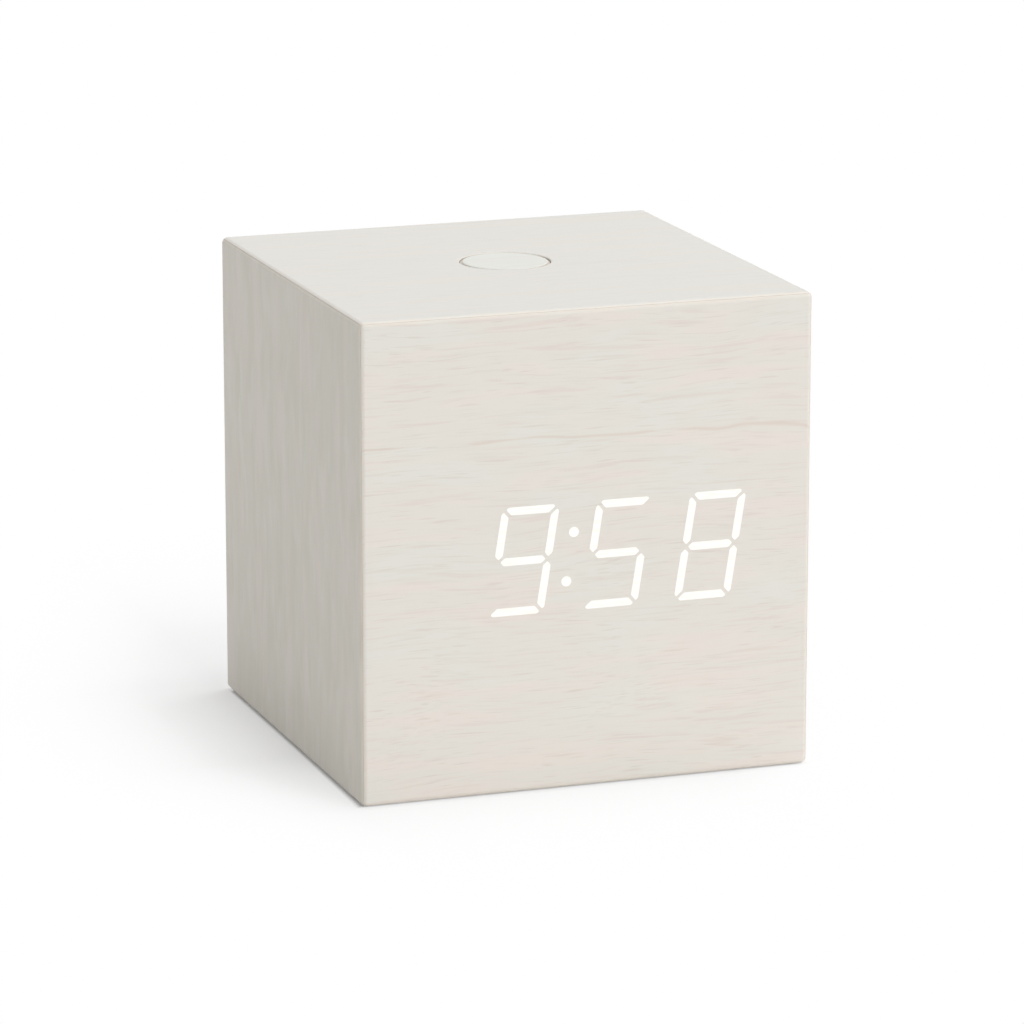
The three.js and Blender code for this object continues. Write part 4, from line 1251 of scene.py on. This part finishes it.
@dataclass
class SnoozeButton:
    """The round veneer disc that lies flush in the top, with a low step round its foot.

    It is cut from the top's own stretch of the leaf.
    """

    thickness: float = 0.8
    rounding: float = 0.3
    bend_steps: int = 5
    step_depth: float = 0.4
    step_width: float = 0.38
    hold: float = 0.15
    steps: int = 128
    start: float = 0.11
    figure: float = 0.4

    def build(self) -> None:
        """Makes the disc, its edge rounded over like the bore's, and bare where it is cut."""
        box = Box.of("snooze_veneer")
        radius, soft = box.size[0] / 2, self.rounding
        foot = radius + self.step_width
        cut = [(0, -self.thickness), (foot, -self.thickness), (foot, -self.step_depth),
               (radius, -self.step_depth)]
        over = quarter((radius - soft, -soft), soft, 0, self.bend_steps)
        flat = [(radius - soft - self.hold, 0), (0, 0)]
        bare = [1.0] * len(cut) + list(np.linspace(1, 0, len(over))) + [0.0] * len(flat)
        disc = revolved(cut + over + flat, self.steps, bare)
        piece = make_piece("snooze_disc", [disc.shifted(box.middle_at(2, box.high[2]))])
        material = washed_veneer("button", Grain.ALONG_X, self.start, LIT_BUTTON_WASH, self.figure)
        dressed(piece, material, "snooze_button", "veneer", "snooze_veneer")


@dataclass
class RearKeys:
    """The three keys: dished heads on flanges, with a raised triangle or dot in the dish.

    dish_rings are shares of the dish's radius, and the triangle's corners and the dot's radius
    are shares of the mark's reach.
    """

    radius: float = 3.0
    flange: float = 0.8
    rounding: float = 0.35
    bend_steps: int = 5
    dish: float = 0.3
    dish_rings: tuple[float, ...] = (0.93, 0.8, 0.6, 0.35, 0.0)
    mark_reach: float = 1.1
    mark_height: float = 0.22
    mark_foot: float = 0.1
    mark_corner: float = 0.22
    mark_steps: int = 4
    triangle: Pairs = ((0.0, 0.9), (-0.95, -0.65), (0.95, -0.65))
    dot: float = 0.6
    steps: int = 64
    keys: dict[str, str] = field(default_factory=lambda: {
        "set_key": "set_button", "up_key": "up_button", "down_key": "down_button"})

    def mark(self, name: str) -> Array:
        """The outline of a key's mark.

        Args:
            name: the key's node.

        Returns:
            A dot, or a triangle that points up or down.
        """
        if name == "set_key":
            return ring(self.mark_reach * self.dot, self.steps // 2)
        triangle = self.mark_reach * np.array(self.triangle) * (1, 1 if name == "up_key" else -1)
        return softened(triangle, self.mark_corner, self.mark_steps)

    def head(self, bottom: float, skirt: float) -> Shell:
        """A key: flange, stem, rounded rim and a dish.

        The dish's depth at a share s of its radius is its full depth times (1 - sss).

        Args:
            bottom: the height of the flange's underside.
            skirt: the flange's radius.

        Returns:
            The closed surface.
        """
        rim = self.radius - self.rounding
        over = quarter((rim, -self.rounding), self.rounding, 0, self.bend_steps)
        dish = [(rim * share, -self.dish * (1 - share ** 3)) for share in self.dish_rings]
        profile = [(0, bottom), (skirt, bottom), (skirt, bottom + self.flange),
                   (self.radius, bottom + self.flange), *over, *dish]
        return revolved(profile, self.steps)

    def build(self) -> None:
        """Makes the keys."""
        material = Finishes.GREY_ABS.value.build()
        for name, body in self.keys.items():
            box = Box.of(name)
            mark = plate(self.mark(name), -self.dish - self.mark_foot,
                         self.mark_height - self.dish, edge=1.0)
            shells = [shell.moved(Side.BACK, box.middle_at(1, box.high[1]))
                      for shell in (self.head(-box.size[1], box.size[0] / 2), mark)]
            dressed(make_piece(f"{name}_cap", shells), material, body, "grey_plastic", name)


@dataclass
class Cells:
    """The three cells in the bay: a steel can in a plastic sleeve, laid turn about.

    The can's steps go outwards and upwards, from the wall's foot, from the wall's top and from
    the foot of the nub. The sleeve reaches inwards by its lip at both ends, where its film shows,
    and it is silver above its band, whose two heights are given from the top down.
    """

    nub_radius: float = 1.9
    nub_height: float = 0.8
    nub_rounding: float = 0.25
    nub_steps: int = 3
    can_foot: Pairs = ((-1.0, 0.1), (-0.8, 0.2), (0.0, 0.6))
    can_top: Pairs = ((0.0, -0.5), (-0.6, -0.12))
    nub_foot: Pairs = ((0.5, -0.12), (0.1, 0.0), (0.0, 0.1))
    sleeve: float = 0.12
    lip: float = 1.0
    sleeve_rounding: float = 0.5
    sleeve_steps: int = 4
    outer_wall: float = 0.8
    inner_wall: float = 0.6
    end_lift: float = 0.02
    film: float = 0.1
    band: tuple[float, float] = (11.0, 10.9)
    steps: int = 64
    nub_sides: tuple[Side, ...] = (Side.LEFT, Side.RIGHT, Side.LEFT)

    def can(self, half: float, radius: float) -> Shell:
        """The steel can: a flat end, a straight wall, a shoulder and the nub.

        Args:
            half: half the cell's length.
            radius: the cell's radius.

        Returns:
            The closed surface, standing upright.
        """
        wall, top, nub, soft = (radius - self.sleeve, half - self.nub_height, self.nub_radius,
                                self.nub_rounding)
        foot = stepped((wall, -half), self.can_foot)
        over = quarter((nub - soft, half - soft), soft, 0, self.nub_steps)
        profile = [(0, foot[0][1]), *foot, *stepped((wall, top), self.can_top),
                   *stepped((nub, top), self.nub_foot), *over, (0, half)]
        return revolved(profile, self.steps)

    def wrap(self, half: float, radius: float) -> Shell:
        """The sleeve: a thin tube shrunk over both shoulders of the can.

        Args:
            half: half the cell's length.
            radius: the cell's radius.

        Returns:
            The closed surface, standing upright.
        """
        low, high, soft = -half, half - self.nub_height, self.sleeve_rounding
        lip, inner = radius - self.lip, radius - self.sleeve
        profile = [(lip, low + self.end_lift),
                   *quarter((radius - soft, low + soft), soft, -90, self.sleeve_steps),
                   (radius, low + self.outer_wall),
                   *((radius, high - drop) for drop in self.band),
                   (radius, high - self.outer_wall),
                   *quarter((radius - soft, high - soft), soft, 0, self.sleeve_steps),
                   (lip, high), (lip, high - self.film), (inner, high - self.inner_wall),
                   (inner, low + self.inner_wall), (lip, low + self.end_lift + self.film)]
        rows = [level(ring(1.0, self.steps) * reach, height) for reach, height in profile]
        silver = [float(height > high - sum(self.band) / 2) for _, height in profile]
        return lofted(rows, close_rows=True, edge=silver)

    def build(self) -> None:
        """Makes a can and a sleeve for each cell."""
        steel = Finishes.NICKEL.value.build()
        film = Finishes.SLEEVE.value.build()
        for number, side in enumerate(self.nub_sides, start=1):
            node = f"battery_cell_{number}"
            box = Box.of(node)
            half, radius = box.size[0] / 2, box.size[2] / 2
            for word, shell, finish in (("can", self.can(half, radius), steel),
                                        ("sleeve", self.wrap(half, radius), film)):
                piece = make_piece(f"{node}_{word}", [shell.moved(side, box.middle)])
                dressed(piece, finish, "case", "cell_wrap", node)


@dataclass
class Feet:
    """The four rubber pads under the case, each with a rounded edge and a shallow groove."""

    rounding: float = 0.35
    bend_steps: int = 4
    groove: float = 2.3
    groove_depth: float = 0.15
    groove_mouth: float = 0.25
    groove_floor: float = 0.1
    steps: int = 64

    def build(self) -> None:
        """Makes the pads: a profile turned about an upright axis."""
        material = Finishes.RUBBER.value.build()
        for number in range(1, 5):
            node = f"foot_{number}"
            box = Box.of(node)
            radius, height, soft = box.size[0] / 2, box.size[2], self.rounding
            grooved = stepped((self.groove, 0), (
                (-self.groove_mouth, 0), (-self.groove_floor, self.groove_depth),
                (self.groove_floor, self.groove_depth), (self.groove_mouth, 0)))
            profile = [(0, 0), *grooved,
                       *quarter((radius - soft, soft), soft, -90, self.bend_steps),
                       (radius, height), (0, height)]
            pad = revolved(profile, self.steps).shifted(box.middle_at(2, box.low[2]))
            dressed(make_piece(f"{node}_pad", [pad]), material, "case", "foot_rubber", node)


@dataclass
class PowerInlet:
    """The power socket: a drawn steel shell with rolled lips, open to the back.

    lip_bend is where the lip's curve passes, and roundness how much of half its height the
    outline's corners take, each as a share.
    """

    wall: float = 0.3
    lip: float = 0.12
    lip_bend: float = 0.3
    floor: float = 0.5
    roundness: float = 0.999
    steps: int = 96

    def build(self) -> None:
        """Makes the shell: a long-round outline carried up, over the lip and down inside."""
        box = Box.of("usb_socket")
        half, depth, bend = box.size[[0, 2]] / 2, -box.size[1], self.lip * self.lip_bend
        outer, normals = round_rectangle(once_round(self.steps), tuple(half),
                                         half[1] * self.roundness)
        profile = [(0.0, depth), (0.0, -self.lip), (bend, -bend), (self.lip, 0.0),
                   (self.wall - self.lip, 0.0), (self.wall - bend, -bend),
                   (self.wall, -self.lip), (self.wall, depth + self.floor)]
        rows = [pole((0, 0), depth, self.steps),
                *(level(outer - normals * inset, height) for inset, height in profile),
                pole((0, 0), depth + self.floor, self.steps)]
        shell = lofted(rows).moved(Side.BACK, box.middle_at(1, box.high[1]))
        dressed(make_piece("usb_shell", [shell]), Finishes.NICKEL.value.build(), "case",
                "nickel_plate", "usb_socket")


@dataclass
class ReturnSpring:
    """The snooze button's coil spring."""

    wire: float = 0.4
    turns: float = 4.5
    steps_per_turn: int = 48
    wire_steps: int = 12
    travel: float = 1.0

    def coil(self, space: Box) -> Shell:
        """A wire along a helix: at turn t its middle lies at (R cos t, R sin t) and rises evenly.

        Args:
            space: the space it fills.

        Returns:
            The closed surface, its wire's circle standing on the radius and the upright axis.
        """
        turn = np.linspace(0, 2 * np.pi * self.turns, round(self.turns * self.steps_per_turn) + 1)
        heights = np.linspace(space.low[2] + self.wire, space.high[2] - self.wire, len(turn))
        outward = level(directions(turn), 0.0)
        path = (outward * (space.size[0] / 2 - self.wire)
                + level(np.tile(space.middle[:2], (len(turn), 1)), heights))
        round_wire = ring(self.wire, self.wire_steps)
        rows = path[:, None] + outward[:, None] * round_wire[None, :, :1]
        rows[..., 2] += round_wire[None, :, 1]
        first, last = (np.repeat(path[end][None], self.wire_steps, axis=0) for end in (0, -1))
        return lofted([first, *rows, last])

    def build(self) -> None:
        """Makes the spring."""
        space = Box.of("snooze_spring")
        piece = make_piece("snooze_spring_coil", [self.coil(space)])
        dressed(piece, Finishes.ZINC.value.build(), "case", "screw_steel", "snooze_spring")
        foot = tuple(space.middle_at(2, space.low[2]) * MM)
        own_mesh(piece)


@dataclass
class SwitchHousing:
    """The slide switch's moulded housing on the board, which shows beside the knob."""

    length: float = 8.7
    width: float = 3.9
    height: float = 3.4
    corner: float = 0.4
    corner_steps: int = 4
    knob_gap: float = 0.04
    travel: float = 3.0

    def build(self) -> None:
        """Makes the housing: a block with round corners just under the knob's foot."""
        box = Box.of("sound_switch_knob")
        middle = box.middle_at(1, box.low[1]) - (self.travel / 2, 0, 0)
        half = np.array([self.length, self.width]) / 2
        corners = np.array([(1, 1), (-1, 1), (-1, -1), (1, -1)]) * half
        block = plate(softened(corners, self.corner, self.corner_steps), -self.height,
                      -self.knob_gap)
        piece = make_piece("sound_switch_housing", [block.moved(Side.BACK, middle)])
        dressed(piece, Finishes.BLACK_ABS.value.build(), "case", "black_plastic")


@dataclass
class InnerParts:
    """The nodes of the frame whose shape is right, with rounded edges where they show."""

    panel_mould: Mould = Mould(0.2)
    knob_mould: Mould = Mould(0.15)
    small_mould: Mould = Mould(0.1)

    def build(self) -> None:
        """Gives each node its finish."""
        black, white, zinc, nickel = (
            finish.value.build() for finish in (Finishes.BLACK_ABS, Finishes.WHITE_ABS,
                                                Finishes.ZINC, Finishes.NICKEL))
        self.panel_mould.cast("rear_panel", black, "case", "black_plastic")
        self.panel_mould.cast("battery_door", black, "door", "black_plastic")
        self.knob_mould.cast("sound_switch_knob", white, "sound_switch", "white_plastic")
        self.small_mould.cast("usb_tongue", black, "case", "black_plastic")
        for number in range(1, 5):
            self.small_mould.cast(f"panel_screw_{number}", zinc, "case", "screw_steel")
            repaint(zinc, f"display_screw_{number}")
        repaint(Finishes.FIBREBOARD.value.build(), *[
            f"{word}_board" for word in ("front", "top", "bottom", "left", "right", "back")])
        repaint(black, "buzzer", "snooze_lead")
        repaint(white, "segment_mask", "diffuser_film", "snooze_cap")
        repaint(zinc, "snooze_screw_1", "snooze_screw_2")
        repaint(nickel, "microphone", "battery_contact_left", "battery_contact_right")
        repaint(Finishes.GREY_ABS.value.build(), "snooze_plunger", "snooze_bracket",
                "display_ribbon")
        repaint(Finishes.SOLDER_MASK.value.build(), "display_board", "snooze_board", "main_board")
        repaint(Finishes.ACRYLIC.value.build(), *[
            f"light_guide_{word}" for word in ("leading_one", "hours", "tens", "minutes", "colon")])


@dataclass
class Lamp:
    """A square soft lamp: the direction it comes from, its distance, width and power."""

    name: str
    direction: Triple
    distance: float
    size: float
    watts: float


@dataclass
class Studio:
    """The pale floor, the soft lights and the camera.

    The floor's shadow is painted. To the eye an emission whitens the floor, and a drawn mask of
    whiteness lets its real shade through only near the clock. whiteness gives how white the floor
    looks at each distance in millimetres from the patch between shadow_low and shadow_high, where
    the painted shadow is deepest. footprint is half the size of the patch under the clock that is
    left dark, a painted contact shade. The aim is how far to the right of the clock's middle and
    above it the camera points.
    """

    case: Case
    azimuth: float = -19.345
    elevation: float = 13.725
    distance: float = 1190.7
    lens: float = 192.6
    film: float = 36.0
    furthest: float = 100.0
    aim_right: float = 0.51
    aim_up: float = -3.45
    floor_reach: float = 20000.0
    paper: str = "#F4F4F4"
    world_light: float = 0.54
    shadow_low: tuple[float, float] = (-50.0, -8.0)
    shadow_high: tuple[float, float] = (34.0, 55.0)
    low_slopes: tuple[float, float] = (1.0, 0.5)
    high_slopes: tuple[float, float] = (1.0, 0.4)
    shadow_reach: float = 60.0
    whiteness: Pairs = (
        (0.0, 0.36), (3.0, 0.41), (6.0, 0.48), (10.0, 0.56), (15.0, 0.63), (19.0, 0.7),
        (23.0, 0.79), (28.0, 0.86), (34.0, 0.92), (42.0, 0.965), (60.0, 1.0))
    footprint: tuple[float, float] = (49.4, 47.2)
    footprint_white: float = 0.05
    footprint_fade: float = 1.9
    lamps: tuple[Lamp, ...] = (
        Lamp("overhead_softbox", (0.30, 0.05, 0.95), 4000.0, 1900.0, 60.0),
        Lamp("front_softbox", (0.50, -0.81, 0.30), 4500.0, 3250.0, 83.0))

    def seen(self, tree: Tree) -> Socket:
        """Tells the eye's rays from the light's own.

        Args:
            tree: the node tree.

        Returns:
            1 for a ray from the camera, a shiny surface or glass, and 0 for the light's own.
        """
        rays = add_node(tree, "ShaderNodeLightPath", {}, {})
        first = add_node(tree, "ShaderNodeMath", {"operation": "MAXIMUM"},
                         {0: rays.outputs["Is Camera Ray"], 1: rays.outputs["Is Glossy Ray"]})
        second = add_node(tree, "ShaderNodeMath", {"operation": "MAXIMUM"},
                          {0: first.outputs[0], 1: rays.outputs["Is Transmission Ray"]})
        return second.outputs[0]

    def painted_shadow_white(self, tree: Tree, place: Socket) -> Socket:
        """How white the floor is round the clock.

        It is a painted shadow's mask: the floor whitens with a distance that adds up how far a
        point is past each side of the patch where the painted shadow is deepest, times that side's
        slope.

        Args:
            tree: the floor's node tree.
            place: the floor's coordinates.

        Returns:
            The whiteness, as a grey.
        """
        low, high = (Vector((*corner, 0.0)) * MM for corner in (self.shadow_low, self.shadow_high))
        parts = []
        for start, end, slopes in ((place, low, self.low_slopes), (high, place, self.high_slopes)):
            past = add_node(tree, "ShaderNodeVectorMath", {"operation": "SUBTRACT"},
                            {0: end, 1: start})
            outside = add_node(tree, "ShaderNodeVectorMath", {"operation": "MAXIMUM"},
                               {0: past.outputs[0], 1: even(0.0)})
            part = add_node(tree, "ShaderNodeVectorMath", {"operation": "DOT_PRODUCT"},
                            {0: outside.outputs[0], 1: (*slopes, 0.0)})
            parts.append(part.outputs["Value"])
        far = add_node(tree, "ShaderNodeMath", {"operation": "ADD"}, {0: parts[0], 1: parts[1]})
        share = add_node(tree, "ShaderNodeMath", {"operation": "DIVIDE"},
                         {0: far.outputs[0], 1: self.shadow_reach * MM})
        ramp = add_node(tree, "ShaderNodeValToRGB", {}, {0: share.outputs[0]})
        stops = ramp.color_ramp.elements
        for stop, (_, white) in ((stops[0], self.whiteness[0]), (stops[1], self.whiteness[-1])):
            stop.color = (*even(white), 1.0)
        for millimetres, white in self.whiteness[1:-1]:
            stops.new(millimetres / self.shadow_reach).color = (*even(white), 1.0)
        return ramp.outputs[0]

    def painted_contact_shade(self, tree: Tree, place: Socket) -> Socket:
        """How white the floor is under the clock, where it stays dark so that the gap shows.

        Args:
            tree: the floor's node tree.
            place: the floor's coordinates.

        Returns:
            The whiteness, which is full a little way outside the footprint.
        """
        # Painted contact shade: inside the footprint and just past it the floor is left unwhitened,
        # so it shows dark.
        turned = add_node(tree, "ShaderNodeVectorMath", {"operation": "ABSOLUTE"}, {0: place})
        out = add_node(tree, "ShaderNodeVectorMath", {"operation": "SUBTRACT"},
                       {0: turned.outputs[0], 1: Vector((*self.footprint, 0.0)) * MM})
        sides = add_node(tree, "ShaderNodeSeparateXYZ", {}, {0: out.outputs[0]})
        past = add_node(tree, "ShaderNodeMath", {"operation": "MAXIMUM"},
                        {0: sides.outputs["X"], 1: sides.outputs["Y"]})
        under = add_node(tree, "ShaderNodeMapRange", {}, {
            0: past.outputs[0], 1: 0.0, 2: self.footprint_fade * MM,
            3: self.footprint_white, 4: 1.0})
        return under.outputs[0]

    def floor(self) -> None:
        """Lays a wide floor of white paper that shows the clock's shadow close to it.

        The eye's rays see it whitened except where drawn masks leave a painted shadow; the light's
        own rays meet plain paper.
        """
        reach = self.floor_reach * MM
        corners = [(-reach, -reach, 0), (reach, -reach, 0), (reach, reach, 0), (-reach, reach, 0)]
        mesh = bpy.data.meshes.new("studio_floor")
        mesh.from_pydata(corners, [], [(0, 1, 2, 3)])
        material = bpy.data.materials.new("paper_floor_painted_shadow")
        material.use_nodes = True
        tree = material.node_tree
        tree.nodes.remove(tree.nodes["Principled BSDF"])
        place = add_node(tree, "ShaderNodeTexCoord", {}, {}).outputs["Object"]
        # Painted shadow: the eye sees the floor whitened except where the two masks leave its
        # shade.
        whiteness = add_node(tree, "ShaderNodeMath", {"operation": "MINIMUM"},
                             {0: self.painted_shadow_white(tree, place), 1: self.painted_contact_shade(tree, place)})
        glow = add_node(tree, "ShaderNodeMath", {"operation": "MULTIPLY"},
                        {0: self.seen(tree), 1: whiteness.outputs[0]})
        paper = add_node(tree, "ShaderNodeBsdfDiffuse", {}, {"Color": linear(self.paper)})
        white = add_node(tree, "ShaderNodeEmission", {}, {"Color": (1, 1, 1, 1), "Strength": 1.0})
        mixed = add_node(tree, "ShaderNodeMixShader", {},
                         {0: glow.outputs[0], 1: paper.outputs[0], 2: white.outputs[0]})
        tree.links.new(mixed.outputs[0], tree.nodes["Material Output"].inputs["Surface"])
        mesh.materials.append(material)
        linked("studio_floor", mesh)

    def world(self) -> None:
        """Even light from all round, which the camera, glass and metal see as white."""
        world = bpy.data.worlds.new("studio_air")
        bpy.context.scene.world = world
        world.use_nodes = True
        tree = world.node_tree
        background = tree.nodes["Background"]
        strength = add_node(tree, "ShaderNodeMapRange", {}, {
            0: self.seen(tree), 1: 0.0, 2: 1.0, 3: self.world_light, 4: 1.0})
        background.inputs["Color"].default_value = (1, 1, 1, 1)
        tree.links.new(strength.outputs[0], background.inputs["Strength"])

    def hang(self, lamp: Lamp) -> None:
        """Hangs a lamp so that it faces the middle of the clock.

        Args:
            lamp: the lamp.
        """
        light = bpy.data.lights.new(lamp.name, "AREA")
        light.shape = "SQUARE"
        light.size = lamp.size * MM
        light.energy = lamp.watts
        holder = linked(lamp.name, light)
        away = Vector(lamp.direction).normalized()
        holder.location = Vector(self.case.middle) * MM + away * lamp.distance * MM
        holder.rotation_euler = away.to_track_quat("Z", "Y").to_euler()

    def camera(self) -> None:
        """The camera at the photograph's angle, aimed a little below the clock's middle."""
        turn, rise = math.radians(self.azimuth), math.radians(self.elevation)
        back = Vector((math.sin(turn) * math.cos(rise), -math.cos(turn) * math.cos(rise),
                       math.sin(rise)))
        right = Vector((math.cos(turn), math.sin(turn), 0))
        up = back.cross(right)
        target = Vector(self.case.middle) + right * self.aim_right + up * self.aim_up
        lens = bpy.data.cameras.new("studio_camera")
        lens.lens = self.lens
        lens.sensor_width = self.film
        lens.clip_end = self.furthest
        camera = linked("studio_camera", lens)
        turned = Matrix((right, up, back)).transposed().to_4x4()
        camera.matrix_world = Matrix.Translation((target + back * self.distance) * MM) @ turned
        bpy.context.scene.camera = camera

    def build(self) -> None:
        """Makes the studio."""
        self.floor()
        self.world()
        for lamp in self.lamps:
            self.hang(lamp)
        self.camera()
        bpy.context.scene.view_settings.view_transform = "Standard"


def main() -> None:
    """Builds the clock's looks in order."""
    logging.basicConfig(level=logging.INFO, format="%(name)s: %(message)s")
    case = Case.from_frame()
    for assembly in (Studio(case), VeneeredCase(case), LitDisplay(case), SnoozeButton(),
                     RearKeys(), Cells(), Feet(), PowerInlet(), ReturnSpring(), SwitchHousing(),
                     InnerParts()):
        assembly.build()


if __name__ == "__main__":
    main()
